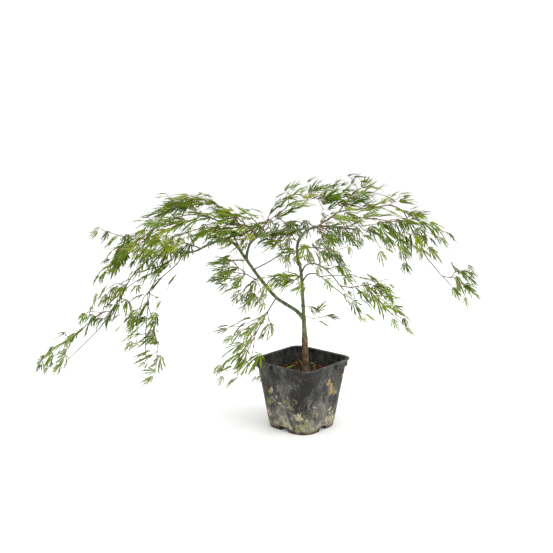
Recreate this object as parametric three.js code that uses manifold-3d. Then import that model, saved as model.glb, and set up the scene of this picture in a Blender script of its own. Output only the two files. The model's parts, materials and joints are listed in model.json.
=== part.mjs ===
// A young weeping laceleaf maple in a square nursery pot.
// Units are millimetres and +Z is up. The origin is the centre of the pot's flat underside.
// X runs along the plant's widest spread, and -Y is its front.
// A grafted stem forks low down: one bough arches over to the left and weeps almost to the ground,
// the leader arches over to the right, and a third bough crosses between them.
// Each spray of foliage is one uneven closed pad that lies along the shoots it stands for.

import * as THREE from "three";
import { mergeVertices } from "three/addons/utils/BufferGeometryUtils.js";
import Module from "manifold-3d";

const wasm = await Module();
wasm.setup();

// ---------------------------------------------------------------- driving dimensions

const POT = {
  height: 120,
  turn: THREE.MathUtils.degToRad(49), // one corner faces the front
  wall: 1.6,
  floor: 2.6,
  footSide: 96,
  footRadius: 29,
  wallTopSide: 120, // where the plain tapering wall meets the collar
  wallTopRadius: 27,
  collarBottom: 107.5,
  lipBottom: 115,
  collarSide: 124.5,
  lipSide: 130,
  collarGap: 34, // stretch in the middle of each side that has no collar
  notchWidth: 18,
  notchDepth: 13,
  notchHeight: 7.5,
};
const SOIL_TOP = 95;
const GAP = 0.3; // clearance that touching solids keep
const GRAFT_HEIGHT = 157;
const FORK_HEIGHT = 190;

const ARC_STEPS = 6; // per quarter turn of a rounded corner
const LIMB_STEP = 20; // spacing of a limb's rings along it
const LIMB_SIDES = 8;
const SHOOT_SIDES = 6;
const PAD_SIDES = 9;
const PAD_SPANS = 7;
const LOBE = 0.13; // how far a pad's lobes stand in or out, of its half width

const COLOURS = {
  pot: { color: 0x3a3b39, roughness: 0.6 },
  soil: { color: 0x3d2b20, roughness: 0.95 },
  rootstock: { color: 0x6d5c49, roughness: 0.85 },
  greenBark: { color: 0x57694a, roughness: 0.6 },
  shoot: { color: 0x5d4635, roughness: 0.6 },
  freshLeaf: { color: 0x6c8a33, roughness: 0.6 },
  greyLeaf: { color: 0x728a5c, roughness: 0.6 },
};

// ---------------------------------------------------------------- solids from rings

// A closed solid from rings of equal length: a skin between neighbours and a fan over each end.
function loft(rings) {
  const sides = rings[0].length;
  const positions = rings.flat().flatMap((p) => [p.x, p.y, p.z]);
  const faces = [];
  for (let j = 0; j + 1 < rings.length; j++)
    for (let i = 0; i < sides; i++) {
      const a = j * sides + i;
      const b = j * sides + ((i + 1) % sides);
      faces.push(a, b, b + sides, a, b + sides, a + sides);
    }
  const addEnd = (ring, first, flip) => {
    const centre = ring
      .reduce((sum, p) => sum.add(p), new THREE.Vector3())
      .divideScalar(sides);
    const tip = positions.length / 3;
    positions.push(centre.x, centre.y, centre.z);
    for (let i = 0; i < sides; i++) {
      const a = first + i;
      const b = first + ((i + 1) % sides);
      faces.push(...(flip ? [tip, b, a] : [tip, a, b]));
    }
  };
  addEnd(rings[0], 0, true);
  addEnd(rings.at(-1), (rings.length - 1) * sides, false);
  return solidOf(positions, faces);
}

function solidOf(positions, faces) {
  const geometry = new THREE.BufferGeometry()
    .setAttribute("position", new THREE.Float32BufferAttribute(positions, 3))
    .setIndex(faces);
  const merged = mergeVertices(geometry, 1e-3);
  const solid = new wasm.Manifold(
    new wasm.Mesh({
      numProp: 3,
      vertProperties: merged.attributes.position.array,
      triVerts: new Uint32Array(merged.index.array),
    }),
  );
  return solid.volume() < 0 ? reversed(merged) : solid;
}

// The same surface with every face turned over.
function reversed(geometry) {
  const triVerts = new Uint32Array(geometry.index.array);
  for (let i = 0; i < triVerts.length; i += 3)
    [triVerts[i], triVerts[i + 1]] = [triVerts[i + 1], triVerts[i]];
  return new wasm.Manifold(
    new wasm.Mesh({
      numProp: 3,
      vertProperties: geometry.attributes.position.array,
      triVerts,
    }),
  );
}

function smoothCurve(points) {
  const corners = points.map((p) => new THREE.Vector3(...p));
  return new THREE.CatmullRomCurve3(corners, false, "centripetal");
}

// ---------------------------------------------------------------- pot and potting mix

// A square with round corners at height z, turned with the pot.
function roundedSquare(side, radius, z) {
  const flat = side / 2 - radius;
  const ring = [];
  for (let corner = 0; corner < 4; corner++) {
    const start = (corner * Math.PI) / 2;
    const [sx, sy] = [[1, 1], [-1, 1], [-1, -1], [1, -1]][corner];
    for (let i = 0; i <= ARC_STEPS; i++) {
      const angle = start + (i / ARC_STEPS) * (Math.PI / 2);
      const x = sx * flat + radius * Math.cos(angle);
      const y = sy * flat + radius * Math.sin(angle);
      ring.push(
        new THREE.Vector3(x, y, z).applyAxisAngle(
          new THREE.Vector3(0, 0, 1),
          POT.turn,
        ),
      );
    }
  }
  return ring;
}

// A box turned with the pot. Its centre is given in the pot's own square, before the turn.
function turnedBox(x, y, z, width, depth, height, quarter = 0) {
  const box = new THREE.BoxGeometry(width, depth, height)
    .translate(x, y, z)
    .rotateZ(POT.turn + (quarter * Math.PI) / 2);
  box.deleteAttribute("normal");
  box.deleteAttribute("uv");
  const merged = mergeVertices(box, 1e-3);
  return solidOf([...merged.attributes.position.array], [...merged.index.array]);
}

// Side and corner radius of the plain wall's outside at height z.
function wallAt(z) {
  const t = z / POT.collarBottom;
  return [
    THREE.MathUtils.lerp(POT.footSide, POT.wallTopSide, t),
    THREE.MathUtils.lerp(POT.footRadius, POT.wallTopRadius, t),
  ];
}

function insetSquare(z, inset) {
  const [side, radius] = wallAt(z);
  return roundedSquare(side - 2 * inset, radius - inset, z);
}

// The drain recess in the middle of each side, as wide and high as the notch plus a skin.
function drainRecesses(skin) {
  const width = POT.notchWidth + 2 * skin;
  const height = POT.notchHeight + skin;
  const depth = POT.notchDepth + skin;
  const reach = 20; // runs out past the wall
  const blocks = [0, 1, 2, 3].map((quarter) =>
    turnedBox(
      POT.footSide / 2 - depth + (depth + reach) / 2,
      0,
      height / 2 - 1,
      depth + reach,
      width,
      height + 2,
      quarter,
    ),
  );
  return blocks.reduce((all, block) => all.add(block));
}

function makePot() {
  const plainWall = loft([
    roundedSquare(...wallAt(0), 0),
    roundedSquare(...wallAt(POT.collarBottom), POT.collarBottom),
    roundedSquare(...wallAt(POT.height), POT.height),
  ]);
  const cornerRadius = POT.wallTopRadius;
  const collarRing = loft([
    roundedSquare(POT.collarSide, cornerRadius, POT.collarBottom),
    roundedSquare(POT.collarSide + 0.8, cornerRadius, POT.height - 1),
  ]);
  const collarGaps = [0, 1, 2, 3]
    .map((quarter) =>
      turnedBox(POT.lipSide / 2, 0, POT.height - 9, 20, POT.collarGap, 20, quarter),
    )
    .reduce((all, box) => all.add(box));
  const lip = loft([
    roundedSquare(POT.collarSide, cornerRadius, POT.lipBottom),
    roundedSquare(POT.lipSide, cornerRadius + 1, POT.height - 2),
    roundedSquare(POT.lipSide, cornerRadius + 1, POT.height),
  ]);
  const cavity = loft([
    insetSquare(POT.floor, POT.wall),
    insetSquare(POT.height + 1, POT.wall),
  ]).subtract(drainRecesses(POT.wall));
  return plainWall
    .add(collarRing.subtract(collarGaps))
    .add(lip)
    .subtract(cavity)
    .subtract(drainRecesses(0));
}

function makeSoil() {
  const inset = POT.wall + GAP;
  return loft([
    insetSquare(POT.floor + GAP, inset),
    insetSquare(SOIL_TOP, inset),
  ]).subtract(drainRecesses(POT.wall + GAP));
}

// ---------------------------------------------------------------- limbs

// One tapering limb along a smooth route. radii are spaced evenly from its foot to its end.
function makeLimb({ route, radii, flatFoot }, grow = 0) {
  const curve = smoothCurve(route);
  const sides = radii[0] < 2 ? SHOOT_SIDES : LIMB_SIDES;
  const steps = Math.max(5, Math.ceil(curve.getLength() / LIMB_STEP));
  const frames = curve.computeFrenetFrames(steps, false);
  const rings = [];
  for (let j = 0; j <= steps; j++) {
    const t = j / steps;
    const radius = radiusAlong(radii, t) + grow;
    const centre = curve.getPointAt(t);
    const level = flatFoot && j === 0;
    const across = level ? new THREE.Vector3(1, 0, 0) : frames.normals[j];
    const other = level ? new THREE.Vector3(0, 1, 0) : frames.binormals[j];
    rings.push(
      Array.from({ length: sides }, (_, i) => {
        const angle = (i / sides) * 2 * Math.PI;
        return centre
          .clone()
          .addScaledVector(across, radius * Math.cos(angle))
          .addScaledVector(other, radius * Math.sin(angle));
      }),
    );
  }
  return loft(rings);
}

function radiusAlong(radii, t) {
  const place = t * (radii.length - 1);
  const k = Math.min(Math.floor(place), radii.length - 2);
  return THREE.MathUtils.lerp(radii[k], radii[k + 1], place - k);
}

// The routes run from the fork outwards. The trunk's foot is cut flat on the potting mix.
const TRUNK = {
  route: [
    [7, 0, SOIL_TOP + GAP],
    [6.5, 0, 112],
    [5.5, 1, 132],
    [4.5, 1, GRAFT_HEIGHT],
    [4, 0, 172],
    [3, 0, FORK_HEIGHT],
  ],
  radii: [6.6, 5.6, 5.4, 5.4, 5.0, 3.7, 3.7],
  flatFoot: true,
};

const LIMBS = {
  leader: {
    colour: "greenBark",
    route: [
      [3, 0, FORK_HEIGHT],
      [1, 0, 225],
      [-2, 1, 270],
      [-9, 4, 305],
      [-5, 8, 328],
      [10, 11, 342],
    ],
    radii: [3.3, 2.8, 2.4, 2.1],
  },
  leader_arch: {
    colour: "greenBark",
    route: [
      [10, 11, 342],
      [30, 13, 347.5],
      [58, 12, 346],
      [88, 8, 343],
    ],
    radii: [2.1, 1.8, 1.5],
  },
  left_bough: {
    colour: "greenBark",
    route: [
      [3, 0, FORK_HEIGHT],
      [-12, -2, 206],
      [-42, -5, 226],
      [-72, -7, 262],
      [-96, -6, 296],
      [-112, -3, 318],
    ],
    radii: [3.2, 2.9, 2.7, 2.5],
  },
  left_arch: {
    colour: "greenBark",
    route: [
      [-112, -3, 318],
      [-128, -2, 326],
      [-152, -1, 321],
      [-184, 0, 306],
      [-216, 0, 304],
    ],
    radii: [2.5, 2.1, 1.7, 1.3],
  },
  left_long_shoot: {
    colour: "shoot",
    route: [
      [-216, 0, 304],
      [-248, 0, 299],
      [-288, -2, 265],
      [-312, -4, 222],
      [-345, -6, 176],
      [-404, -8, 118],
    ],
    radii: [1.3, 1.1, 0.9, 0.7],
  },
  cross_bough: {
    colour: "greenBark",
    route: [
      [-93, -6, 292],
      [-93, -12, 306],
      [-84, -20, 328],
      [-56, -27, 343],
      [-24, -30, 347],
      [12, -30, 350],
    ],
    radii: [2.3, 2.0, 1.8, 1.6],
  },
  low_left_shoot: {
    colour: "shoot",
    route: [
      [-44, -6, 228],
      [-56, -22, 212],
      [-72, -40, 186],
      [-90, -54, 152],
      [-108, -62, 110],
    ],
    radii: [1.2, 1.0, 0.8, 0.6],
  },
  upper_right_shoot: {
    colour: "shoot",
    route: [
      [-1, 1, 270],
      [4, -8, 283],
      [20, -24, 290],
      [42, -40, 279],
      [66, -54, 252],
    ],
    radii: [1.3, 1.1, 0.9],
  },
  lower_right_shoot: {
    colour: "shoot",
    route: [
      [0, 0, 254],
      [8, 10, 264],
      [24, 22, 264],
      [48, 34, 244],
      [76, 44, 220],
    ],
    radii: [1.3, 1.1, 0.8],
  },
  middle_shoot: {
    colour: "shoot",
    route: [
      [-84, -7, 276],
      [-66, -2, 284],
      [-44, 6, 296],
      [-28, 14, 308],
    ],
    radii: [1.1, 0.9],
  },
  back_left_shoot: {
    colour: "shoot",
    route: [
      [-105, -5, 306],
      [-112, 14, 322],
      [-124, 46, 330],
      [-134, 80, 322],
    ],
    radii: [1.5, 1.1],
  },
  back_right_shoot: {
    colour: "shoot",
    route: [
      [-8, 6, 318],
      [6, 30, 336],
      [30, 62, 340],
      [52, 92, 326],
    ],
    radii: [1.5, 1.1],
  },
  hanging_shoot: {
    colour: "shoot",
    route: [
      [-254, -42, 244],
      [-258, -46, 210],
      [-262, -48, 165],
      [-262, -48, 132],
    ],
    radii: [0.9, 0.7],
  },
  right_tip_shoot: {
    colour: "shoot",
    route: [
      [206, -28, 300],
      [222, -34, 281],
      [243, -40, 258],
    ],
    radii: [0.9, 0.7],
  },
};

// ---------------------------------------------------------------- foliage pads

// An uneven closed pad about a bent line: where a spray springs from, arches over and falls to.
// It is broad across the line and thin square to it. roll turns the broad way about the line, so
// that the front edge drops. Lobes round the pad and along it make its outline uneven.
function makePad({ line, width, thick, across = "y", roll = 0, phase = 0 }, grow = 0) {
  const curve = smoothCurve(line);
  const level = across === "y" ? new THREE.Vector3(0, 1, 0) : new THREE.Vector3(1, 0, 0);
  const goesLeft = line.at(-1)[0] < line[0][0];
  const turn = THREE.MathUtils.degToRad(goesLeft ? -roll : roll);
  const rings = [];
  for (let j = 0; j <= PAD_SPANS; j++) {
    const t = THREE.MathUtils.lerp(0.01, 0.99, j / PAD_SPANS);
    const along = curve.getTangentAt(t);
    const broad = level
      .clone()
      .addScaledVector(along, -level.dot(along))
      .normalize()
      .applyAxisAngle(along, turn);
    const thin = new THREE.Vector3().crossVectors(along, broad);
    const fullness = Math.pow(Math.sin(Math.PI * t), 0.45);
    rings.push(
      Array.from({ length: PAD_SIDES }, (_, i) => {
        const angle = (i / PAD_SIDES) * 2 * Math.PI;
        const lobes =
          1 +
          LOBE * Math.sin(3 * angle + 9 * t + phase) +
          LOBE * Math.sin(2 * angle - 16 * t + 2.3 * phase);
        const swell = fullness * lobes;
        return curve
          .getPointAt(t)
          .addScaledVector(broad, ((width / 2) * swell + grow) * Math.cos(angle))
          .addScaledVector(thin, ((thick / 2) * swell + grow) * Math.sin(angle));
      }),
    );
  }
  return loft(rings);
}

const PADS = {
  // the left crown, from its shoulder out to the tips that weep past the pot
  left_shoulder: {
    line: [[-76, -4, 338], [-116, -5, 361], [-169, -6, 352]],
    width: 105,
    thick: 24,
    roll: 12,
  },
  left_shoulder_front: {
    line: [[-87, -55, 336], [-129, -62, 346], [-173, -69, 333]],
    width: 60,
    thick: 17,
    roll: 45,
  },
  left_crest: { line: [[-147, 48, 388], [-205, 55, 383], [-267, 62, 356]], width: 80, thick: 18, roll: 5 },
  left_crest_front: {
    line: [[-167, -7, 369], [-221, -8, 365], [-278, -9, 335]],
    width: 72,
    thick: 18,
    roll: 18,
  },
  left_front_fall: {
    line: [[-182, -58, 351], [-226, -66, 342], [-271, -74, 301]],
    width: 60,
    thick: 17,
    roll: 42,
  },
  left_inner_fall: {
    line: [[-184, 11, 318], [-225, 12, 302], [-277, 13, 242]],
    width: 60,
    thick: 17,
    roll: 32,
  },
  left_outer_fall: {
    line: [[-247, -19, 328], [-298, -22, 309], [-354, -25, 245]],
    width: 62,
    thick: 18,
    roll: 36,
  },
  left_outer_back: {
    line: [[-259, 53, 331], [-305, 60, 309], [-358, 67, 258]],
    width: 56,
    thick: 16,
    roll: -28,
  },
  left_back_fall: {
    line: [[-222, 95, 319], [-267, 108, 287], [-313, 121, 230]],
    width: 62,
    thick: 16,
    roll: -38,
  },
  left_low_fall: {
    line: [[-306, -4, 258], [-341, -5, 224], [-390, -6, 159]],
    width: 50,
    thick: 15,
    roll: 40,
  },
  left_low_back: {
    line: [[-292, 39, 257], [-324, 44, 215], [-378, 49, 155]],
    width: 42,
    thick: 14,
    roll: -30,
  },
  left_tip: {
    line: [[-385, -14, 164], [-419, -16, 131], [-469, -18, 101]],
    width: 42,
    thick: 12,
    roll: 35,
  },
  left_under_spray: {
    line: [[-241, -28, 241], [-278, -32, 215], [-324, -36, 182]],
    width: 46,
    thick: 14,
    roll: 40,
  },
  hanging_side: {
    line: [[-257, -48, 176], [-278, -55, 169], [-308, -62, 135]],
    width: 32,
    thick: 12,
    roll: 40,
  },
  hanging_tip: {
    line: [[-262, -37, 177], [-262, -42, 137], [-259, -47, 88]],
    width: 48,
    thick: 16,
    across: "x",
  },
  // under the left arch and between the two main stems
  under_arch: {
    line: [[-126, -40, 310], [-134, -45, 287], [-136, -50, 257]],
    width: 52,
    thick: 20,
    across: "x",
  },
  bough_side_spray: {
    line: [[-61, -32, 264], [-88, -36, 248], [-126, -40, 205]],
    width: 46,
    thick: 15,
    roll: 40,
  },
  low_left_spray: {
    line: [[-56, -51, 206], [-101, -58, 191], [-145, -65, 171]],
    width: 44,
    thick: 14,
    roll: 38,
  },
  low_left_inner: { line: [[-47, -36, 201], [-62, -40, 179], [-84, -44, 148]], width: 34, thick: 12, roll: 40 },
  low_left_tip: {
    line: [[-81, -63, 171], [-115, -72, 138], [-163, -81, 93]],
    width: 50,
    thick: 14,
    roll: 38,
  },
  cross_spray: { line: [[-83, 18, 317], [-55, 20, 322], [-14, 22, 330]], width: 64, thick: 18, roll: 22 },
  leader_left_spray: {
    line: [[-6, -23, 259], [-32, -26, 263], [-63, -29, 247]],
    width: 36,
    thick: 12,
    roll: 40,
  },
  leader_spray: { line: [[-45, -18, 285], [-5, -20, 295], [30, -22, 318]], width: 38, thick: 14, roll: 35 },
  leader_right_spray: {
    line: [[24, -32, 307], [55, -36, 298], [75, -40, 250]],
    width: 42,
    thick: 14,
    roll: 38,
  },
  // the right crown
  top_left_spray: { line: [[-58, 7, 353], [-27, 8, 389], [43, 9, 424]], width: 56, thick: 18, roll: 22 },
  top_middle_spray: { line: [[2, 49, 384], [46, 56, 393], [92, 63, 414]], width: 62, thick: 17, roll: 2 },
  top_right_spray: {
    line: [[58, 26, 387], [104, 30, 401], [141, 34, 435]],
    width: 64,
    thick: 18,
    roll: 12,
  },
  right_crest: { line: [[32, 11, 359], [86, 12, 377], [142, 13, 371]], width: 100, thick: 20, roll: 15 },
  right_crest_front: {
    line: [[16, -49, 352], [70, -56, 357], [124, -63, 341]],
    width: 66,
    thick: 17,
    roll: 42,
  },
  right_shoulder: {
    line: [[119, -2, 380], [168, -2, 378], [218, -2, 341]],
    width: 90,
    thick: 20,
    roll: 20,
  },
  right_inner_fall: {
    line: [[44, -35, 342], [77, -40, 326], [100, -45, 290]],
    width: 48,
    thick: 15,
    roll: 40,
  },
  right_outer_fall: {
    line: [[171, 12, 366], [209, 14, 337], [222, 16, 279]],
    width: 72,
    thick: 17,
    roll: 25,
  },
  right_front_fall: {
    line: [[125, -55, 358], [155, -62, 337], [168, -69, 272]],
    width: 58,
    thick: 16,
    roll: 35,
  },
  right_back_fall: {
    line: [[146, 77, 348], [188, 88, 327], [216, 99, 270]],
    width: 62,
    thick: 16,
    roll: -30,
  },
  right_wisp: { line: [[222, 23, 334], [242, 26, 328], [273, 29, 299]], width: 32, thick: 11, roll: 30 },
  right_tip: { line: [[232, -44, 272], [260, -50, 270], [297, -56, 230]], width: 48, thick: 14, roll: 35 },
  // the low sprays on the right
  low_right_spray: {
    line: [[73, -69, 256], [118, -78, 256], [173, -87, 205]],
    width: 68,
    thick: 16,
    roll: 30,
  },
  low_right_back: { line: [[90, 40, 252], [132, 46, 244], [175, 52, 213]], width: 52, thick: 14, roll: -8 },
  low_right_inner: { line: [[80, 9, 212], [55, 10, 199], [26, 11, 172]], width: 34, thick: 12, roll: 35 },
  low_right_tip: {
    line: [[138, -99, 217], [160, -112, 211], [192, -125, 187]],
    width: 38,
    thick: 12,
    roll: 30,
  },
  // the far side of the crown
  back_left_spray: {
    line: [[-128, 84, 338], [-142, 122, 322], [-152, 172, 266]],
    width: 104,
    thick: 16,
    across: "x",
  },
  back_middle_spray: {
    line: [[-28, 66, 350], [-32, 108, 338], [-38, 158, 290]],
    width: 84,
    thick: 16,
    across: "x",
  },
  back_right_spray: {
    line: [[56, 92, 336], [70, 132, 322], [86, 180, 268]],
    width: 104,
    thick: 16,
    across: "x",
  },
};
const GREY_PADS = /^(right|low_right|hanging|left_under)/;

// ---------------------------------------------------------------- assembly

// Each new solid is cut back from those before it that it would touch, and keeps its largest piece.
const placed = [];

function boxesMeet(a, b) {
  return [0, 1, 2].every((k) => a.min[k] <= b.max[k] && b.min[k] <= a.max[k]);
}

function place(name, colour, build) {
  let solid = build(0);
  for (const other of placed)
    if (boxesMeet(solid.boundingBox(), other.grown.boundingBox()))
      solid = solid.subtract(other.grown);
  const largest = solid
    .decompose()
    .reduce((best, piece) => (piece.volume() > best.volume() ? piece : best));
  placed.push({ name, colour, solid: largest, grown: build(GAP + 0.1) });
}

function meshOf({ name, colour, solid }) {
  const { numProp, numVert, vertProperties, triVerts } = solid.getMesh();
  const positions = new Float32Array(numVert * 3);
  for (let i = 0; i < numVert; i++)
    positions.set(vertProperties.subarray(i * numProp, i * numProp + 3), i * 3);
  const geometry = new THREE.BufferGeometry()
    .setAttribute("position", new THREE.BufferAttribute(positions, 3))
    .setIndex(new THREE.BufferAttribute(triVerts, 1));
  geometry.computeVertexNormals();
  const mesh = new THREE.Mesh(
    geometry,
    new THREE.MeshStandardMaterial({ ...COLOURS[colour], metalness: 0 }),
  );
  mesh.name = name;
  return mesh;
}

place("trunk", "rootstock", (grow) => makeLimb(TRUNK, grow));
for (const [name, limb] of Object.entries(LIMBS))
  place(name, limb.colour, (grow) => makeLimb(limb, grow));
Object.entries(PADS).forEach(([name, pad], k) =>
  place(name, GREY_PADS.test(name) ? "greyLeaf" : "freshLeaf", (grow) =>
    makePad({ ...pad, phase: 1.7 * k }, grow),
  ),
);

const plant = new THREE.Group();
plant.add(meshOf({ name: "pot", colour: "pot", solid: makePot() }));
plant.add(meshOf({ name: "potting_mix", colour: "soil", solid: makeSoil() }));
placed.forEach((piece) => plant.add(meshOf(piece)));

export default plant;
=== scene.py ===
# %% [markdown]
# # A weeping laceleaf maple in its nursery pot
#
# The plant is a few years old. A soft, weeping garden form is grafted on a tougher root, so the foot of the
# stem has brown bark and everything above the graft is smooth and green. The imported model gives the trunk
# and boughs as plain tapering limbs and each spray of foliage as a thin closed pad. Here the limbs get
# their bark, each pad is filled with twigs and finely cut leaves that grow on from the limbs, and the pot
# gets its thin moulded wall, its dirt and its loose potting mix.
#
# All lengths are metres, +Z is up and -Y is the front.

# %% Load the frame
import heapq
import json
import math
import random

import bmesh
import bpy
import numpy as np
from mathutils import Matrix, Vector, noise
from mathutils.bvhtree import BVHTree

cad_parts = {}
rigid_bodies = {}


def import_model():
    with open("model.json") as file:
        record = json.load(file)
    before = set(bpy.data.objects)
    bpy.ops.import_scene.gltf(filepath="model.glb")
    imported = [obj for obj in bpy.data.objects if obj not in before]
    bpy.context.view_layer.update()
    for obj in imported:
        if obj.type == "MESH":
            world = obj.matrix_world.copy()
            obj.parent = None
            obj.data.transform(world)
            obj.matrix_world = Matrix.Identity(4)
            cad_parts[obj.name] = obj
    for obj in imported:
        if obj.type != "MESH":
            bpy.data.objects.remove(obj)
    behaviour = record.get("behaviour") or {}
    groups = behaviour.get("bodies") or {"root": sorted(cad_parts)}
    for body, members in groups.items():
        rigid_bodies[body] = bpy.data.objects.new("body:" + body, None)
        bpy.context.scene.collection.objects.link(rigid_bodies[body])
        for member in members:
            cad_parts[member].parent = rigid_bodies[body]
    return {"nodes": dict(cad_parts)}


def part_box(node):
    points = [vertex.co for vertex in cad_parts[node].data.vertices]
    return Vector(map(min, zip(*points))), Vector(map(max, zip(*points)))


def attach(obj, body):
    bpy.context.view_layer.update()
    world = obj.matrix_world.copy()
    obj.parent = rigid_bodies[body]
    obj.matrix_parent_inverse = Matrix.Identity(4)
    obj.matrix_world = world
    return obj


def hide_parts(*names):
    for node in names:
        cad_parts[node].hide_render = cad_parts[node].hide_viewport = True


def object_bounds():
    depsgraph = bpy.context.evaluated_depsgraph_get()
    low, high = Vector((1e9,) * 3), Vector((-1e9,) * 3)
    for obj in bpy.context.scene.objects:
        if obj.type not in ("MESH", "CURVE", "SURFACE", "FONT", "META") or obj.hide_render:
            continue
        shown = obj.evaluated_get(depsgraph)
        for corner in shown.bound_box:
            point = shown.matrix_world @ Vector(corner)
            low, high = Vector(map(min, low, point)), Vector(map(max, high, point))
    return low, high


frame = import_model()
cad_low, cad_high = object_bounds()
MM = 0.001
UP = Vector((0, 0, 1))
scene = bpy.context.scene
print("frame:", len(frame["nodes"]), "nodes, box", [round(v, 3) for v in (*cad_low, *cad_high)])

# %% [markdown]
# ## Camera, light and floor
#
# The plant stands on a pale studio floor, seen from a little above the crown. A short telephoto from a
# metre and a half away keeps the pot's sides almost parallel. One large soft light hangs over the plant,
# a second comes from the right, where the pot's right face catches it, and a weak one fills the left.

# %% Camera
CAMERA_PLACE = Vector((-0.0438, -1.495, 0.557))
CAMERA_PITCH = math.radians(11.11)  # below level
LENS_MM = 58.46


def add_object(name, data):
    """An object in the scene, at the origin and not turned."""
    made = bpy.data.objects.new(name, data)
    scene.collection.objects.link(made)
    return made


def add_camera():
    camera = add_object("camera", bpy.data.cameras.new("camera"))
    camera.data.lens = LENS_MM
    camera.data.sensor_width = 36
    camera.data.clip_start = 0.02
    camera.location = CAMERA_PLACE
    camera.rotation_euler = (math.pi / 2 - CAMERA_PITCH, 0, 0)
    scene.camera = camera


add_camera()
print("camera:", LENS_MM, "mm lens at", [round(v, 3) for v in CAMERA_PLACE])


# %% Lights
def add_light(name, place, aim, size, watts):
    """A square soft light at place that looks at aim."""
    lamp = add_object(name, bpy.data.lights.new(name, "AREA"))
    lamp.data.shape = "SQUARE"
    lamp.data.size = size
    lamp.data.energy = watts
    lamp.location = place
    lamp.rotation_euler = (Vector(aim) - Vector(place)).to_track_quat("-Z", "Y").to_euler()


PLANT_MIDDLE = (-0.05, 0, 0.25)
add_light("overhead light", (0.1, -0.2, 2.4), PLANT_MIDDLE, 2.4, 42)
add_light("right light", (2.0, -1.3, 1.2), PLANT_MIDDLE, 1.4, 26)
add_light("left fill", (-2.2, -1.2, 1.0), PLANT_MIDDLE, 1.6, 10)

scene.world = bpy.data.worlds.new("studio")
scene.world.use_nodes = True
sky = scene.world.node_tree.nodes["Background"]
sky.inputs["Color"].default_value = (1, 1, 1, 1)
sky.inputs["Strength"].default_value = 1.02
scene.view_settings.view_transform = "Standard"
print("lights: 3, and a white surround")

# %% [markdown]
# ## Finishes
#
# Every finish is made of nodes. A sum such as `dust * 0.4 + film` would take many lines of node calls, so a
# small class wraps a socket and turns the usual operators into Math nodes. All other nodes come from one
# method. Patterns are laid out on the piece's own coordinates, in millimetres, so they stay where they are.


# %% Shader sums
class Wire:
    """A value in a finish. Sums of wires add Math nodes."""

    def __init__(self, finish, socket):
        self.finish = finish
        self.socket = socket

    def math(self, operation, *values):
        return self.finish.node("ShaderNodeMath", {"operation": operation}, dict(enumerate(values)))

    def __add__(self, other):
        return self.math("ADD", self, other)

    def __mul__(self, other):
        return self.math("MULTIPLY", self, other)

    def __sub__(self, other):
        return self.math("SUBTRACT", self, other)

    def __rsub__(self, other):
        return self.math("SUBTRACT", other, self)

    __radd__ = __add__
    __rmul__ = __mul__

    def between(self, low, high):
        """0 below low, 1 above high, and smooth in between."""
        settings = {"interpolation_type": "SMOOTHSTEP"}
        return self.finish.node("ShaderNodeMapRange", settings, {0: self, 1: low, 2: high})


class Finish:
    """One material on the piece's own coordinates. Fixed inputs go by name, with spaces as underscores."""

    def __init__(self, name, **fixed):
        self.material = bpy.data.materials.new(name)
        self.material.use_nodes = True
        self.tree = self.material.node_tree
        self.shader = self.tree.nodes["Principled BSDF"]
        for socket, value in fixed.items():
            self.shader.inputs[socket.replace("_", " ")].default_value = value
        place = self.node("ShaderNodeTexCoord", {}, {}, "Object")
        scale = {"operation": "SCALE"}
        self.place_mm = self.node("ShaderNodeVectorMath", scale, {0: place, "Scale": 1000.0}, "Vector")

    def node(self, kind, settings, inputs, output=0):
        """A node with its settings, such as a Math node's operation, and its inputs, set or linked."""
        made = self.tree.nodes.new(kind)
        for key, value in settings.items():
            if key == "stops":
                fill_ramp(made.color_ramp, value)
            else:
                setattr(made, key, value)
        for key, value in inputs.items():
            if isinstance(value, Wire):
                self.tree.links.new(value.socket, made.inputs[key])
            else:
                made.inputs[key].default_value = value
        return Wire(self, made.outputs[output])

    def noise(self, scale, detail=3.0, stretch=(1, 1, 1)):
        """Soft noise from 0 to 1, with scale cells in each millimetre."""
        place = self.node("ShaderNodeVectorMath", {"operation": "MULTIPLY"}, {0: self.place_mm, 1: stretch})
        return self.node("ShaderNodeTexNoise", {}, {"Vector": place, "Scale": scale, "Detail": detail})

    def cracks(self, scale, wander=0.0):
        """Distance to the nearest border of random cells, for thin wandering lines."""
        place = self.place_mm
        if wander:
            bend = self.node("ShaderNodeTexNoise", {}, {"Vector": place, "Scale": scale * 2.0}, "Color")
            push = {"operation": "MULTIPLY_ADD"}
            place = self.node("ShaderNodeVectorMath", push, {0: bend, 1: (wander,) * 3, 2: place})
        settings = {"feature": "DISTANCE_TO_EDGE"}
        return self.node("ShaderNodeTexVoronoi", settings, {"Vector": place, "Scale": scale})

    def spots(self, scale):
        """Distance to the nearest of many scattered points."""
        return self.node("ShaderNodeTexVoronoi", {}, {"Vector": self.place_mm, "Scale": scale})

    def along(self, axis):
        """One coordinate in millimetres: X, Y or Z."""
        return self.node("ShaderNodeSeparateXYZ", {}, {0: self.place_mm}, axis)

    def blend(self, share, first, second):
        """The first colour where share is 0 and the second where it is 1."""
        return self.node("ShaderNodeMix", {"data_type": "RGBA"}, {0: share, 6: first, 7: second}, 2)

    def ramp(self, value, *stops):
        """Colours laid along a value."""
        return self.node("ShaderNodeValToRGB", {"stops": stops}, {0: value})

    def finish_with(self, colour, roughness=None, height=None, depth_mm=0.0):
        """Links what changes over the surface and returns the material."""
        self.tree.links.new(colour.socket, self.shader.inputs["Base Color"])
        if roughness is not None:
            self.tree.links.new(roughness.socket, self.shader.inputs["Roughness"])
        if height is not None:
            bump = self.node("ShaderNodeBump", {}, {"Height": height, "Distance": depth_mm * MM})
            self.tree.links.new(bump.socket, self.shader.inputs["Normal"])
        return self.material


def fill_ramp(ramp, stops):
    while len(ramp.elements) < len(stops):
        ramp.elements.new(1.0)
    for element, (position, colour) in zip(ramp.elements, stops):
        element.position = position
        element.color = colour


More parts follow.
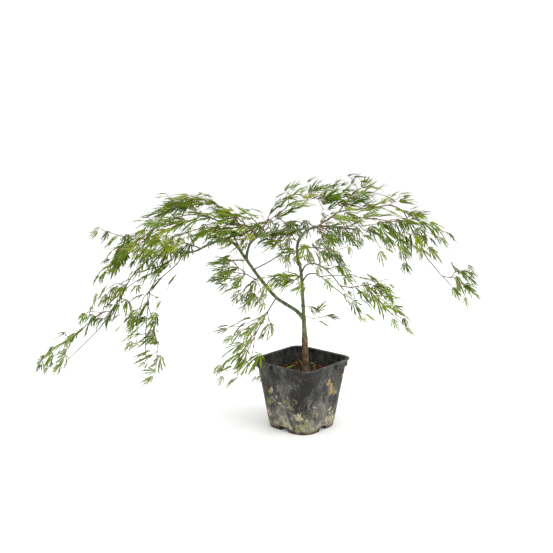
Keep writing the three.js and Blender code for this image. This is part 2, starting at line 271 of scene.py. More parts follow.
def rgb(red, green, blue):
    """A colour from screen values 0 to 255, as the linear numbers a shader takes."""
    linear = [(v / 255 / 12.92) if v < 11 else ((v / 255 + 0.055) / 1.055) ** 2.4 for v in (red, green, blue)]
    return (*linear, 1.0)


# %% Floor
FLOOR_RADIUS = 3
FLOOR_COLOUR = (0.91, 0.91, 0.905, 1)


def add_floor():
    bpy.ops.mesh.primitive_circle_add(vertices=96, radius=FLOOR_RADIUS, fill_type="NGON", location=(0, 0, 0))
    floor = bpy.context.object
    floor.name = "studio_floor"
    floor.data.materials.append(Finish("pale floor", Base_Color=FLOOR_COLOUR, Roughness=0.9).material)


add_floor()
print("floor: a pale disc", 2 * FLOOR_RADIUS, "m across")

# %% [markdown]
# ## The limbs' centre lines
#
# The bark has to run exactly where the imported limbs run, so their centre lines are read back from the
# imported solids. A limb is a tube of rings. Walking over its surface from its foot, the corners of one ring
# all come at about the same distance, and the next ring a clear step later, so the distances fall into
# groups. A group's middle is a point on the centre line and its spread is the radius there.

# %% Read the limbs
RING_GAP = 6 * MM  # rings stand further apart than this, corners of one ring do not


def welded(node):
    """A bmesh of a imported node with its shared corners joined."""
    shape = bmesh.new()
    shape.from_mesh(frame["nodes"][node].data)
    bmesh.ops.remove_doubles(shape, verts=shape.verts, dist=0.01 * MM)
    shape.verts.ensure_lookup_table()
    return shape


def walk_distances(start):
    """Shortest way over the edges from one corner to each other corner."""
    best = {start: 0.0}
    queue = [(0.0, start.index, start)]
    while queue:
        far, _, corner = heapq.heappop(queue)
        if far > best[corner]:
            continue
        for edge in corner.link_edges:
            other = edge.other_vert(corner)
            way = far + edge.calc_length()
            if way < best.get(other, math.inf):
                best[other] = way
                heapq.heappush(queue, (way, other.index, other))
    return best


def read_limb(node, foot):
    """The limb's centre line as (point, radius) pairs, from the end nearest foot."""
    shape = welded(node)
    start = min(shape.verts, key=lambda v: (v.co - foot).length)
    order = sorted(walk_distances(start).items(), key=lambda item: item[1])
    groups = [[order[0]]]
    for item in order[1:]:
        if item[1] - groups[-1][-1][1] > RING_GAP:
            groups.append([])
        groups[-1].append(item)
    line = []
    for group in groups:
        if len(group) < 3:
            continue  # the middle of a flat end, which lies in its own ring's plane
        corners = [v.co.copy() for v, _ in group]
        middle = sum(corners, Vector()) / len(corners)
        radius = float(np.median([(c - middle).length for c in corners]))
        line.append((middle, radius))
    shape.free()
    return line


FORK = Vector((3, 0, 190)) * MM
LIMB_FEET = {
    "trunk": Vector((7, 0, 95)) * MM,
    "leader": FORK,
    "leader_arch": Vector((10, 11, 342)) * MM,
    "left_bough": FORK,
    "left_arch": Vector((-112, -3, 318)) * MM,
    "left_long_shoot": Vector((-216, 0, 304)) * MM,
    "cross_bough": Vector((-93, -6, 292)) * MM,
    "low_left_shoot": Vector((-44, -6, 228)) * MM,
    "upper_right_shoot": Vector((-1, 1, 270)) * MM,
    "lower_right_shoot": Vector((0, 0, 254)) * MM,
    "middle_shoot": Vector((-84, -7, 276)) * MM,
    "back_left_shoot": Vector((-105, -5, 306)) * MM,
    "back_right_shoot": Vector((-8, 6, 318)) * MM,
    "hanging_shoot": Vector((-254, -42, 244)) * MM,
    "right_tip_shoot": Vector((206, -28, 300)) * MM,
}
limbs = {node: read_limb(node, foot) for node, foot in LIMB_FEET.items()}
for node, line in limbs.items():
    print(f"{node}: {len(line)} rings, radius {line[0][1]/MM:.1f} to {line[-1][1]/MM:.1f} mm")

# %% [markdown]
# ## Bark
#
# A young maple stem isn't a plain tube. It swells a little at every pair of old leaf scars, thickens where
# a bough leaves it, and the rootstock's bark is drawn into shallow ridges. A sculpted mesh could show that,
# but a rule is shorter: rings every millimetre along a smooth centre line, each corner moved in or out by
# the swellings and by noise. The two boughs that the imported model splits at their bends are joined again
# here, so the bark runs on without a seam.

# %% Smooth lines
CURVE_STEPS = 12  # fine places between two given ones


def smooth_line(points, step):
    """Evenly spaced places on a smooth curve through (point, radius) pairs."""
    rows = np.array([[*p, r] for p, r in points])
    ends = [2 * rows[0] - rows[1], 2 * rows[-1] - rows[-2]]
    rows = np.vstack([ends[0], rows, ends[1]])
    fine = []
    for a, b, c, d in zip(rows, rows[1:], rows[2:], rows[3:]):
        square, cube = 2 * a - 5 * b + 4 * c - d, 3 * b - a - 3 * c + d
        for t in np.linspace(0, 1, CURVE_STEPS, endpoint=False):
            fine.append(0.5 * (2 * b + (c - a) * t + square * t**2 + cube * t**3))
    fine = np.array([*fine, rows[-2]])
    run = np.concatenate([[0], np.cumsum(np.linalg.norm(np.diff(fine[:, :3], axis=0), axis=1))])
    marks = np.linspace(0, run[-1], max(2, round(run[-1] / step)) + 1)
    even = np.column_stack([np.interp(marks, run, fine[:, k]) for k in range(4)])
    return [(Vector(row[:3]), float(row[3])) for row in even]


def ring_directions(line):
    """For each place: the way along, and two directions square to it that turn as little as possible."""
    frames = []
    side = Vector((1, 0, 0))
    for k, (place, _) in enumerate(line):
        before = line[max(k - 1, 0)][0]
        after = line[min(k + 1, len(line) - 1)][0]
        along = (after - before).normalized()
        side = (side - along * side.dot(along)).normalized()
        frames.append((along, side, along.cross(side)))
    return frames


# %% Bark meshes
BARK_STEP = 1.0 * MM
BARK_SIDES = 22
GRAIN_SCALE = 160  # a metre
GRAIN_DEPTH = 0.05  # of the radius
RIDGES_ROUND = 3.2
RIDGE_STRETCH = 45
COLLAR_LENGTH = 5 * MM
SCAR_SPACING = 27 * MM  # between pairs of leaf scars
SCAR_WIDTH = 1.6 * MM
SCAR_SWELL = 0.13  # of the radius


def scar_at(run, first):
    """1 on a pair of leaf scars and 0 away from it, at a distance run along a limb."""
    off = (run - first + SCAR_SPACING / 2) % SCAR_SPACING - SCAR_SPACING / 2
    return math.exp(-((off / SCAR_WIDTH) ** 2))


GRAFT_Z = 157 * MM
GRAFT_BLEND = 1.3 * MM
ROOTSTOCK_RADIUS = 5.3 * MM


def stout_below_graft(place, radius):
    """The rootstock stays stout right up to the graft, where the thinner stem begins."""
    below = 1 / (1 + math.exp(min(max((place.z - GRAFT_Z) / GRAFT_BLEND, -30), 30)))
    return radius + max(ROOTSTOCK_RADIUS - radius, 0) * below


def ring_faces(rings, size, capped=True):
    """Faces between rings of corners that follow each other, and over both end rings."""
    faces = [
        (j * size + i, j * size + (i + 1) % size, (j + 1) * size + (i + 1) % size, (j + 1) * size + i)
        for j in range(rings - 1) for i in range(size)
    ]
    if capped:
        faces.append(tuple(reversed(range(size))))
        faces.append(tuple((rings - 1) * size + i for i in range(size)))
    return faces


def new_mesh(name, corners, faces=(), edges=()):
    mesh = bpy.data.meshes.new(name)
    mesh.from_pydata(corners, edges, faces)
    return mesh


def mark(mesh, name, values, kind="FLOAT"):
    """Keeps a value at each corner of a mesh, under a name."""
    field = "vector" if kind == "FLOAT_VECTOR" else "value"
    mesh.attributes.new(name, kind, "POINT").data.foreach_set(field, values)


def make_bark(name, points, ridges=0.0, collar=0.0, first_scar=15 * MM, scar_swell=SCAR_SWELL):
    """A closed limb with relief. collar thickens its foot, where it leaves an older limb."""
    line = smooth_line(points, BARK_STEP)
    frames = ring_directions(line)
    corners = []
    scars = []
    for k, ((place, radius), (along, side, other)) in enumerate(zip(line, frames)):
        run = k * BARK_STEP
        radius = stout_below_graft(place, radius) if ridges else radius
        scar = scar_at(run, first_scar)
        swell = 1 + scar_swell * scar + collar * math.exp(-run / COLLAR_LENGTH)
        for i in range(BARK_SIDES):
            angle = 2 * math.pi * i / BARK_SIDES
            out = side * math.cos(angle) + other * math.sin(angle)
            grain = noise.noise((place + out * radius) * GRAIN_SCALE) * GRAIN_DEPTH
            around = Vector((math.cos(angle), math.sin(angle), 0)) * RIDGES_ROUND
            ridge = ridges * noise.noise(around + UP * run * RIDGE_STRETCH)
            corners.append(place + out * radius * (swell + grain + ridge))
            scars.append(scar)
    mesh = new_mesh(name, corners, ring_faces(len(line), BARK_SIDES))
    mark(mesh, "scar", scars)
    mesh.shade_smooth()
    return add_object(name, mesh)


def from_inside(parent_points, points):
    """The limb's line, begun at the nearest place on its parent's centre line instead of its surface."""
    start = min((p for p, _ in smooth_line(parent_points, 2 * MM)), key=lambda p: (p - points[0][0]).length)
    return [(start, points[0][1]), *points[1:]]


trunk_line = limbs["trunk"]
leader_line = [trunk_line[-2], *from_inside(trunk_line, limbs["leader"]), *limbs["leader_arch"][1:]]
left_line = [*from_inside(trunk_line, limbs["left_bough"]), *limbs["left_arch"][1:]]
cross_line = from_inside(left_line, limbs["cross_bough"])
bark_pieces = {
    "trunk_bark": make_bark("trunk_bark", trunk_line, ridges=0.1, collar=0.12, scar_swell=0.02),
    "leader_bark": make_bark("leader_bark", leader_line, collar=0.1),
    "left_bough_bark": make_bark("left_bough_bark", left_line, collar=0.25),
    "cross_bough_bark": make_bark("cross_bough_bark", cross_line, collar=0.3),
}
for name, piece in bark_pieces.items():
    print(f"{name}: {len(piece.data.vertices)} corners")


# %% [markdown]
# Below the graft the rootstock is brown-grey with a green film of algae; above it the stem is a smooth
# grey-green with a waxy bloom, and turns red-brown at its scars.

# %% Bark finishes
GRAFT_Z_MM = GRAFT_Z / MM


def bark_finish():
    bark = Finish("stem bark", Roughness=0.7, Specular_IOR_Level=0.3)
    height = bark.along("Z")
    grain = bark.noise(0.9, 4, (1, 1, 0.25))
    blotches = bark.noise(0.26, 4, (1, 1, 0.6)) * 0.7 + grain * 0.3
    brown = bark.ramp(blotches, (0.38, rgb(58, 42, 29)), (0.5, rgb(104, 80, 57)), (0.62, rgb(144, 120, 92)))
    algae = bark.noise(0.2, 4).between(0.52, 0.64) * 0.6
    rootstock = bark.blend(algae, brown, rgb(86, 104, 44))
    patches = bark.noise(0.2, 4, (1, 1, 0.5))
    green = bark.ramp(patches, (0.34, rgb(62, 74, 42)), (0.5, rgb(84, 98, 62)), (0.68, rgb(118, 128, 98)))
    wander = bark.noise(0.3, 3)
    above = (height + wander * 5.0 - 2.5).between(GRAFT_Z_MM - 1.5, GRAFT_Z_MM + 2.5)
    scar = bark.node("ShaderNodeAttribute", {"attribute_name": "scar"}, {}, "Fac")
    stem = bark.blend(scar * 0.7, bark.blend(above, rootstock, green), rgb(78, 44, 34))
    specks = bark.spots(0.7).between(0.16, 0.1) * (1 - above)
    colour = bark.blend(specks * 0.5, stem, rgb(178, 160, 130))
    relief = grain + bark.noise(3.0, 3) * 0.5
    return bark.finish_with(colour, None, relief, 0.25)


bark_material = bark_finish()
for piece in bark_pieces.values():
    piece.data.materials.append(bark_material)
print("bark finish made")

# %% [markdown]
# ## Where the leaves sit
#
# Each packed foliage pad is filled with nodes, the places on a shoot where a pair of leaves stands. They
# are thrown in at random and kept only if they lie inside the pad, stand clear of the nodes before them,
# and leave room for a leaf to hang outwards without leaving the pad. The crown then keeps the outline and
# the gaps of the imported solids. A long shoot whose end would be bare gets one more pair of leaves there.

# %% Fill the pads with nodes
random.seed(1)
NODE_SPACINGS = {  # how far apart nodes stand, by the start of a pad's name
    "left_tip": 16, "left_low": 17, "hanging": 18, "top": 17, "right_outer": 20, "right_shoulder": 20,
    "right_tip": 14, "right_wisp": 20, "low_right": 21, "left_outer": 17, "left_crest": 16, "left_under": 17,
    "left_shoulder": 14, "leader": 12, "cross": 12, "under_arch": 11, "bough_side": 11, "low_left": 17,
    "back": 21, "right": 20,
}
USUAL_SPACING = 16
LEAF_REACH = 26 * MM
NODE_BACK = 10 * MM  # a node stands this far behind the place that its leaves are meant to fill
REACH_SLACK = 8 * MM  # a leaf may stand this far proud of its pad
TRIES = 700
UNDECIDED = 0.25  # a pad that lies this much across the flow runs downwards
FLOW_SHARE = 0.4  # of the crown's flow in a pad's own
CROWN_MIDDLE = Vector((-20, 0, 300)) * MM
DEPTH_SHARE = 0.9  # how much depth counts in the way outwards
INNER_DROP = 0.08  # how far shoots drop as they run outwards from the middle
STEEP_LEFT, STEEP_RIGHT = 0.8, 1.1  # and how much further at the outside
STEEPEST_AT = 280 * MM
LONE_NODE = Vector((13, -6, 212)) * MM  # a young pair low on the leader
BARE_END = 9 * MM  # a long shoot whose end is further than this from leaves gets a pair of its own
END_STEP = 2 * MM
BOUGH_VIEW = 6 * MM  # nodes in front of the fork, the boughs and their arches keep this far clear
STOUT = ("leader", "leader_arch", "left_bough", "left_arch")
stout_lines = [[place for place, _ in limbs[node]] for node in STOUT]
stout_steps = [step for line in stout_lines for step in zip(line, line[1:])]


def flow_at(place):
    """The way shoots run at a place: outwards from the crown's middle, and steeper further out."""
    out = Vector((place.x - CROWN_MIDDLE.x, DEPTH_SHARE * (place.y - CROWN_MIDDLE.y), 0))
    steep = STEEP_LEFT if place.x < CROWN_MIDDLE.x else STEEP_RIGHT
    drop = INNER_DROP + steep * min(out.length / STEEPEST_AT, 1.0)
    return (out.normalized() - UP * drop).normalized()


def pad_flow(shape):
    """The way a pad's own shoots run: along the pad, and outwards or else down."""
    places = np.array([v.co for v in shape.verts])
    middle = Vector(places.mean(0))
    _, axes = np.linalg.eigh(np.cov((places - places.mean(0)).T))
    general = flow_at(middle)
    axis = max((Vector(axes[:, k]) for k in (1, 2)), key=lambda a: abs(a.dot(general)))
    agree = axis.dot(general)
    if abs(agree) < UNDECIDED:
        agree = -axis.z
    return (axis * math.copysign(1, agree) + FLOW_SHARE * general).normalized()


def spacing_of(pad):
    """How far apart a pad's nodes stand, in metres."""
    for start, spacing in NODE_SPACINGS.items():
        if pad.startswith(start):
            return spacing * MM
    return USUAL_SPACING * MM


def is_inside(tree, place):
    nearest, normal, _, _ = tree.find_nearest(place)
    return (place - nearest).dot(normal) < 0


def hides_bough(place):
    """Whether a place stands close in front of a stout bough, where leaves would hide it."""
    for start, end in stout_steps:
        way = end - start
        share = min(max((place - start).dot(way) / way.length_squared, 0), 1)
        off = place - (start + way * share)
        if off.y < 0 and math.hypot(off.x, off.z) < BOUGH_VIEW:
            return True
    return False


def fill_pad(node):
    """The pad's flow and its leaf nodes."""
    shape = welded(node)
    tree = BVHTree.FromBMesh(shape)
    flow = pad_flow(shape)
    low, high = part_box(node)
    spacing = spacing_of(node)
    kept = []
    for _ in range(TRIES):
        place = Vector([random.uniform(a, b) for a, b in zip(low, high)])
        if not is_inside(tree, place) or hides_bough(place):
            continue
        if any((place - other).length < spacing for other in kept):
            continue
        tip = place + flow * LEAF_REACH
        if not is_inside(tree, tip) and tree.find_nearest(tip)[3] > REACH_SLACK:
            continue
        kept.append(place)
    shape.free()
    return flow, [place - flow * NODE_BACK for place in kept]


pads = sorted(set(frame["nodes"]) - set(LIMB_FEET) - {"pot", "potting_mix"})
pad_flows = {}
pad_nodes = {}
for pad in pads:
    pad_flows[pad], pad_nodes[pad] = fill_pad(pad)
pad_nodes["leader_right_spray"].append(LONE_NODE)


def nearest_node(pad, place):
    """How far the pad's nearest leaf node is from a place."""
    return min((place - other).length for other in pad_nodes[pad])


for limb in sorted(set(limbs) - {"trunk", "cross_bough"} - set(STOUT)):
    (before, _), (end, _) = limbs[limb][-2:]
    nearest_pad = min(pads, key=lambda pad: nearest_node(pad, end))
    if nearest_node(nearest_pad, end) > BARE_END:
        pad_nodes[nearest_pad].append(end + (end - before).normalized() * END_STEP)
print("pads:", len(pads), "leaf nodes:", sum(map(len, pad_nodes.values())))
print({pad: len(found) for pad, found in pad_nodes.items()})

# %% [markdown]
# ## Shoots
#
# Shoots grow on from the limbs by one rule. Again and again the cheapest free node is joined to the wood
# that is already there. A join costs its length, more if it is long, runs against the weeping flow or turns
# back sharply, and a little for all the wood between it and the fork. So twigs stay short, sweep outwards
# and down, and don't wander.

# %% Grow the shoots
AGAINST_FLOW = 1.1
SHARP_TURN = 0.9
WOOD_COST = 0.22
LONG_JOIN = 70 * MM  # a join this long costs twice as much for its length as a short one
LIMB_STEP = 9 * MM
HEADING_KEPT = 0.4  # how much of its parent's heading a stretch of wood keeps
BARKED = ("trunk", "leader", "leader_arch", "left_bough", "left_arch", "cross_bough")
HANGING_FREE = ("hanging_shoot", "right_tip_shoot")  # packed shoots that other shoots carry


class Wood:
    """A place on the growing skeleton."""

    def __init__(self, place, parent, radius=0.0, pad=None, barked=False):
        self.place = place
        self.parent = parent
        self.radius = radius  # known for packed limbs, worked out later for new shoots
        self.pad = pad
        self.barked = barked
        self.children = []
        self.run = 0.0  # wood between here and the fork
        self.heading = UP
        if parent:
            way = place - parent.place
            self.run = parent.run + way.length
            self.heading = (way.normalized() + HEADING_KEPT * parent.heading).normalized()
            parent.children.append(self)


def grow_limb(node, parent):
    """Adds a packed limb to the skeleton, a place every few millimetres."""
    made = []
    for place, radius in smooth_line(limbs[node], LIMB_STEP):
        parent = Wood(place, parent, radius, barked=node in BARKED)
        made.append(parent)
    return made


def nearest(woods, place):
    return min(woods, key=lambda w: (w.place - place).length, default=None)


def join_costs(wood, places):
    """What it costs to join each free place to one place of the skeleton."""
    way = places - np.array(wood.place)
    length = np.linalg.norm(way, axis=1) + 1e-9
    along_flow = way @ np.array(flow_at(wood.place)) / length
    along_wood = way @ np.array(wood.heading) / length
    stretch = 1 + AGAINST_FLOW * (1 - along_flow) + SHARP_TURN * (1 - along_wood)
    return length * stretch * (1 + length / LONG_JOIN) + WOOD_COST * wood.run


def grow(skeleton, free):
    """Joins every free (place, what stands there) to the skeleton. A packed shoot joins by its foot."""
    places = np.array([place for place, _ in free])
    cost = np.full(len(free), np.inf)
    source = [None] * len(free)
    waiting = np.ones(len(free), bool)
    grown = []

    def offer(wood):
        offered = join_costs(wood, places)
        for k in np.nonzero(waiting & (offered < cost))[0]:
            cost[k] = offered[k]
            source[k] = wood

    for wood in skeleton:
        if wood.place.z > FORK.z:
            offer(wood)
    while waiting.any():
        k = int(np.argmin(np.where(waiting, cost, np.inf)))
        waiting[k] = False
        place, what = free[k]
        joined = grow_limb(what, source[k]) if what in limbs else [Wood(place, source[k], pad=what)]
        grown.extend(joined)
        for wood in joined:
            offer(wood)
    return grown


skeleton = []
for node in limbs:
    if node not in HANGING_FREE:
        skeleton.extend(grow_limb(node, nearest(skeleton, limbs[node][0][0])))
free_nodes = [(place, pad) for pad, found in pad_nodes.items() for place in found]
free_nodes += [(limbs[node][0][0], node) for node in HANGING_FREE]
skeleton.extend(grow(skeleton, free_nodes))
leafy = [wood for wood in skeleton if wood.pad]
print("skeleton:", len(skeleton), "places,", len(leafy), "of them with leaves")

# %% Relax and size the shoots
RELAX_ROUNDS = 2
TIP_RADIUS = 0.42 * MM
RADIUS_POWER = 0.26  # a shoot thickens with the number of leaf nodes that it feeds


def relax(woods):
    """Draws each new node towards the middle of its neighbours, which takes out the zigzag."""
    for _ in range(RELAX_ROUNDS):
        moved = []
        for wood in woods:
            if wood.children:
                ahead = sum((c.place for c in wood.children), Vector()) / len(wood.children)
                moved.append((wood, 0.5 * wood.place + 0.25 * wood.parent.place + 0.25 * ahead))
        for wood, place in moved:
            wood.place = place


def fed_nodes(woods):
    """How many leaf nodes each place feeds."""
    fed = {wood: int(bool(wood.pad)) for wood in woods}
    for wood in reversed(woods):
        if wood.parent:
            fed[wood.parent] += fed[wood]
    return fed


relax(leafy)
fed = fed_nodes(skeleton)
for wood in leafy:
    wood.radius = TIP_RADIUS * max(fed[wood], 1) ** RADIUS_POWER


def heir(wood):
    """The child that carries a shoot on: the one that feeds most."""
    return max((c for c in wood.children if not c.barked), key=lambda c: fed[c], default=None)


def strands():
    """Each shoot from where it leaves its parent to its tip."""
    for wood in skeleton:
        if wood.barked or not wood.parent:
            continue
        if not wood.parent.barked and heir(wood.parent) is wood:
            continue
        chain = [wood]
        while heir(chain[-1]):
            chain.append(heir(chain[-1]))
        yield chain


shoots = list(strands())
print("shoots:", len(shoots), "longest", max(map(len, shoots)), "nodes")

# %% [markdown]
# ## From lines to twigs
#
# Hundreds of thin round twigs are drawn by one small Geometry Nodes tree. It takes bare lines of edges,
# turns them into curves, reads each point's own radius and sweeps a small polygon along them. The tree
# ends in real mesh.


# %% A helper that runs a node tree
def new_tree(name, inputs):
    """A Geometry Nodes tree with a geometry input, the named inputs and a geometry output."""
    tree = bpy.data.node_groups.new(name, "GeometryNodeTree")
    tree.interface.new_socket("Geometry", in_out="INPUT", socket_type="NodeSocketGeometry")
    for label, kind in inputs.items():
        tree.interface.new_socket(label, in_out="INPUT", socket_type=f"NodeSocket{kind}")
    tree.interface.new_socket("Geometry", in_out="OUTPUT", socket_type="NodeSocketGeometry")
    return tree, tree.nodes.new("NodeGroupInput"), tree.nodes.new("NodeGroupOutput")


def add_node(tree, kind, settings, **links):
    """A node with settings, and its inputs by name with spaces as underscores, set or linked."""
    made = tree.nodes.new(kind)
    for key, value in settings.items():
        setattr(made, key, value)
    for key, value in links.items():
        socket = made.inputs[key.replace("_", " ")]
        if isinstance(value, bpy.types.NodeSocket):
            tree.links.new(value, socket)
        else:
            socket.default_value = value
    return made


def named(tree, name, kind="FLOAT"):
    return add_node(tree, "GeometryNodeInputNamedAttribute", {"data_type": kind}, Name=name).outputs[0]


def product(tree, first, second):
    times = add_node(tree, "ShaderNodeMath", {"operation": "MULTIPLY"})
    tree.links.new(first, times.inputs[0])
    tree.links.new(second, times.inputs[1])
    return times.outputs[0]


def end_tree(tree, start, end, geometry, smooth=False):
    """Ends a tree in real mesh that has its material."""
    real = add_node(tree, "GeometryNodeRealizeInstances", {}, Geometry=geometry)
    if smooth:
        real = add_node(tree, "GeometryNodeSetShadeSmooth", {}, Geometry=real.outputs[0])
    paint = add_node(
        tree, "GeometryNodeSetMaterial", {}, Geometry=real.outputs[0], Material=start.outputs["Material"]
    )
    tree.links.new(paint.outputs[0], end.inputs[0])
    return tree


def run_tree(name, source_mesh, tree, values):
    """Runs a tree on a mesh and returns a plain object with the result."""
    source = add_object(name + "_source", source_mesh)
    modifier = source.modifiers.new("nodes", "NODES")
    modifier.node_group = tree
    for item in tree.interface.items_tree:
        if item.item_type == "SOCKET" and item.in_out == "INPUT" and item.name in values:
            modifier[item.identifier] = values[item.name]
    bpy.context.view_layer.update()
    graph = bpy.context.evaluated_depsgraph_get()
    mesh = bpy.data.meshes.new_from_object(source.evaluated_get(graph), depsgraph=graph)
    mesh.name = name
    piece = add_object(name, mesh)
    bpy.data.objects.remove(source)
    return piece


# %% The twig tree
def make_twig_tree():
    inputs = {"Sides": "Int", "Thickness": "Float", "Material": "Material"}
    tree, start, end = new_tree("twigs from lines", inputs)
    curve = add_node(tree, "GeometryNodeMeshToCurve", {}, Mesh=start.outputs["Geometry"])
    profile = add_node(
        tree, "GeometryNodeCurvePrimitiveCircle", {}, Resolution=start.outputs["Sides"], Radius=1.0
    )
    sweep = add_node(
        tree, "GeometryNodeCurveToMesh", {}, Curve=curve.outputs[0], Profile_Curve=profile.outputs[0],
        Scale=product(tree, named(tree, "radius"), start.outputs["Thickness"]), Fill_Caps=True,
    )
    return end_tree(tree, start, end, sweep.outputs[0], smooth=True)


def line_mesh(name, lines):
    """A mesh of bare edges from lines of (place, radius), with the radius kept at each point."""
    places = [p for line in lines for p, _ in line]
    radii = [r for line in lines for _, r in line]
    edges = []
    first = 0
    for line in lines:
        edges.extend((k, k + 1) for k in range(first, first + len(line) - 1))
        first += len(line)
    mesh = new_mesh(name, places, edges=edges)
    mark(mesh, "radius", radii)
    return mesh


twig_tree = make_twig_tree()
print("twig tree:", len(twig_tree.nodes), "nodes")

# %% Draw the shoots
SHOOT_STEP = 4 * MM
NODE_SWELL = 0.55  # how much thicker a shoot is where a pair of leaves stands
SWELL_LENGTH = 1.6 * MM
FOOT_SWELL = 1.15
PARENT_SHARE = 0.85  # a shoot's foot is thinner than this share of its parent
ARCHED_FROM = 12 * MM  # a first stretch longer than this is arched
ARCH_AT = 0.38  # share of the stretch where the arch is highest
ARCH = 0.12


def shoot_line(chain):
    """A smooth, slightly arched line with a swelling at each leaf node."""
    root = chain[0].parent
    first = chain[0].place
    way = first - root.place
    start_radius = min(chain[0].radius * FOOT_SWELL, root.radius * PARENT_SHARE if root.radius else 1.0)
    points = [(root.place, start_radius)]
    if way.length > ARCHED_FROM:
        bow = root.place + ARCH_AT * way + ARCH * way.length * (UP + root.heading)
        points.append((bow, start_radius))
    points += [(wood.place, wood.radius) for wood in chain]
    line = smooth_line(points, SHOOT_STEP)
    tapered = []
    for place, radius in line:
        near = min(((place - wood.place).length for wood in chain if wood.pad), default=1)
        swell = 1 + NODE_SWELL * math.exp(-((near / SWELL_LENGTH) ** 2))
        tapered.append((place, radius * swell))
    return tapered


def mottled_finish(name, scale, detail, *stops, **fixed):
    """A finish whose colour wanders slowly along the stops."""
    twig = Finish(name, **fixed)
    return twig.finish_with(twig.ramp(twig.noise(scale, detail), *stops))


shoot_material = mottled_finish(
    "shoot bark", 0.06, 3, (0.3, rgb(58, 42, 32)), (0.48, rgb(84, 62, 44)), (0.68, rgb(92, 92, 58)),
    Roughness=0.5, Specular_IOR_Level=0.35,
)
shoot_lines = [shoot_line(chain) for chain in shoots]
twigs = run_tree(
    "shoots", line_mesh("shoot lines", shoot_lines), twig_tree,
    {"Sides": 6, "Thickness": 1.0, "Material": shoot_material},
)
print("shoots:", len(twigs.data.polygons), "faces")

# %% [markdown]
# ## A finely cut leaf
#
# A laceleaf's blade is a hand of seven long lobes, cut almost to the stalk, and each lobe is cut again into
# teeth that point forward. The outline matters more than anything else here, so each lobe is a narrow
# folded strip with a few triangles for teeth. The strip bends down towards its tip, and the outer lobes
# curl round to hang beside the middle one. Six such leaves, some five dozen faces each, are set out over
# the whole crown.

# %% Leaf shapes
LEAF_KINDS = 6
LOBES = (  # angle off the middle in degrees, length, segments
    (0, 1.0, 4),
    (17, 0.88, 3),
    (36, 0.66, 3),
    (64, 0.36, 2),
)
CORE_HALF_WIDTH = 0.027
TOOTH_REACH = 0.056
LOBE_FOLD = 0.35
LEAF_DROOP = 0.26


def fullness(s):
    """How wide a lobe is at share s of its length: narrow at its foot, then a long fine tip."""
    return 0.05 + 7.0 * s**1.2 * (1 - s) ** 1.85 if s < 1 else 0


def add_lobe(corners, faces, angle, length, segments, rng):
    droop = LEAF_DROOP * rng.uniform(0.4, 1.7)
    curl = rng.uniform(0, 0.3)
    roll = rng.uniform(-0.5, 0.5)
    bend = rng.uniform(-0.12, 0.12)

    def spot(s, off, rise=0.0):
        """A place at share s of the lobe, off to its side. The midrib curls and droops, the blade rolls."""
        run = s * length
        heading = angle * (1 - curl * s) + bend * s
        away = Vector((math.cos(heading), -math.sin(heading), 0)) * off
        rise += off * roll - droop * run * run
        return Vector((run * math.sin(heading), run * math.cos(heading), rise)) + away

    middle = list(range(len(corners), len(corners) + segments + 1))
    corners.extend(spot(i / segments, 0.0) for i in range(segments + 1))
    for sign in (1, -1):
        edge = list(range(len(corners), len(corners) + segments)) + [middle[-1]]
        for i in range(segments):
            wide = CORE_HALF_WIDTH * fullness(i / segments)
            corners.append(spot(i / segments, sign * wide, LOBE_FOLD * wide))
            strip = [middle[i], edge[i], edge[i + 1], middle[i + 1]]
            if i == segments - 1:
                strip.pop()
            faces.append(strip[::sign])
        for i in range(segments - 1):
            wide = TOOTH_REACH * fullness((i + 0.5) / segments) * rng.uniform(0.7, 1.25)
            faces.append([edge[i], len(corners), edge[i + 1]][::sign])
            corners.append(spot((i + rng.uniform(1.35, 1.75)) / segments, sign * wide, -0.15 * wide))


def make_leaf(kind):
    """One leaf a unit long. It lies along +Y with its upper side to +Z."""
    rng = random.Random(100 + kind)
    corners = []
    faces = []
    for angle, length, segments in LOBES:
        for sign in (1, -1) if angle else (1,):
            turn = math.radians(sign * angle * rng.uniform(0.85, 1.15) + rng.uniform(-3, 3))
            add_lobe(corners, faces, turn, length * rng.uniform(0.88, 1.06), segments, rng)
    mesh = new_mesh(f"leaf_{kind}", corners, faces)
    mesh.validate()
    return bpy.data.objects.new(f"leaf_{kind}", mesh)


leaf_shapes = bpy.data.collections.new("leaf shapes")
for kind in range(LEAF_KINDS):
    leaf_shapes.objects.link(make_leaf(kind))

# %% [markdown]
# ## Leaves in pairs
#
# A maple's leaves stand in pairs, one on each side of the shoot, each pair turned a little from the one
# before. A thin stalk carries the blade outwards, and the blade hangs from its end with its upper side
# turned out and up. Four plain greens are dealt out along the shoots: more yellow-green high on the left,
# and more of the pale side low down and on the right. The deep green is partly the leaves' own darker
# green and partly painted shade, standing in for the shade inside the crown.

# %% Set out the leaves
LEAF_LENGTH = 43 * MM
STALK_LENGTH = (9 * MM, 22 * MM)
STALK_RADIUS = 0.32 * MM
HIGH_LEAF = 355 * MM  # leaves above this lift their points to the light
BOX_SLACK = 5 * MM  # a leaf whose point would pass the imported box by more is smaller
LOST_LEAF = 0.06  # chance that a leaf of a pair is missing
NEW_COLOUR = 0.6  # chance that a node's leaves take a green of their own
PAIR_SPIN = 0.7
LOOSE_STALK, LOOSE_POINT, LOOSE_FACE = 0.2, 0.46, 0.42  # how far each strays from its rule
LEAF_SIZES = (0.7, 1.12)
TIP_SIZE = 0.6  # of a leaf at a shoot's tip
FULL_GROWN = 3  # nodes behind the tip
STALK_STEP = 3.5 * MM
LEAF_COLOURS = {
    # The deepest green is partly painted shade: a darker copy of the fresh green for leaves shaded in the
    # crown.
    "deep": rgb(70, 90, 10),
    "fresh": rgb(98, 118, 20),
    "lime": rgb(116, 130, 22),
    "pale": rgb(122, 136, 74),
}


def shares_at(place):
    """How often each leaf colour is dealt out in a part of the crown: deep green and painted shade, fresh,
    lime, pale.
    """
    if place.x > 90 * MM or place.z < 200 * MM:
        return (0.32, 0.34, 0.06, 0.28)
    if place.x < -60 * MM and place.z > 320 * MM:
        return (0.3, 0.38, 0.2, 0.12)
    return (0.34, 0.36, 0.12, 0.18)


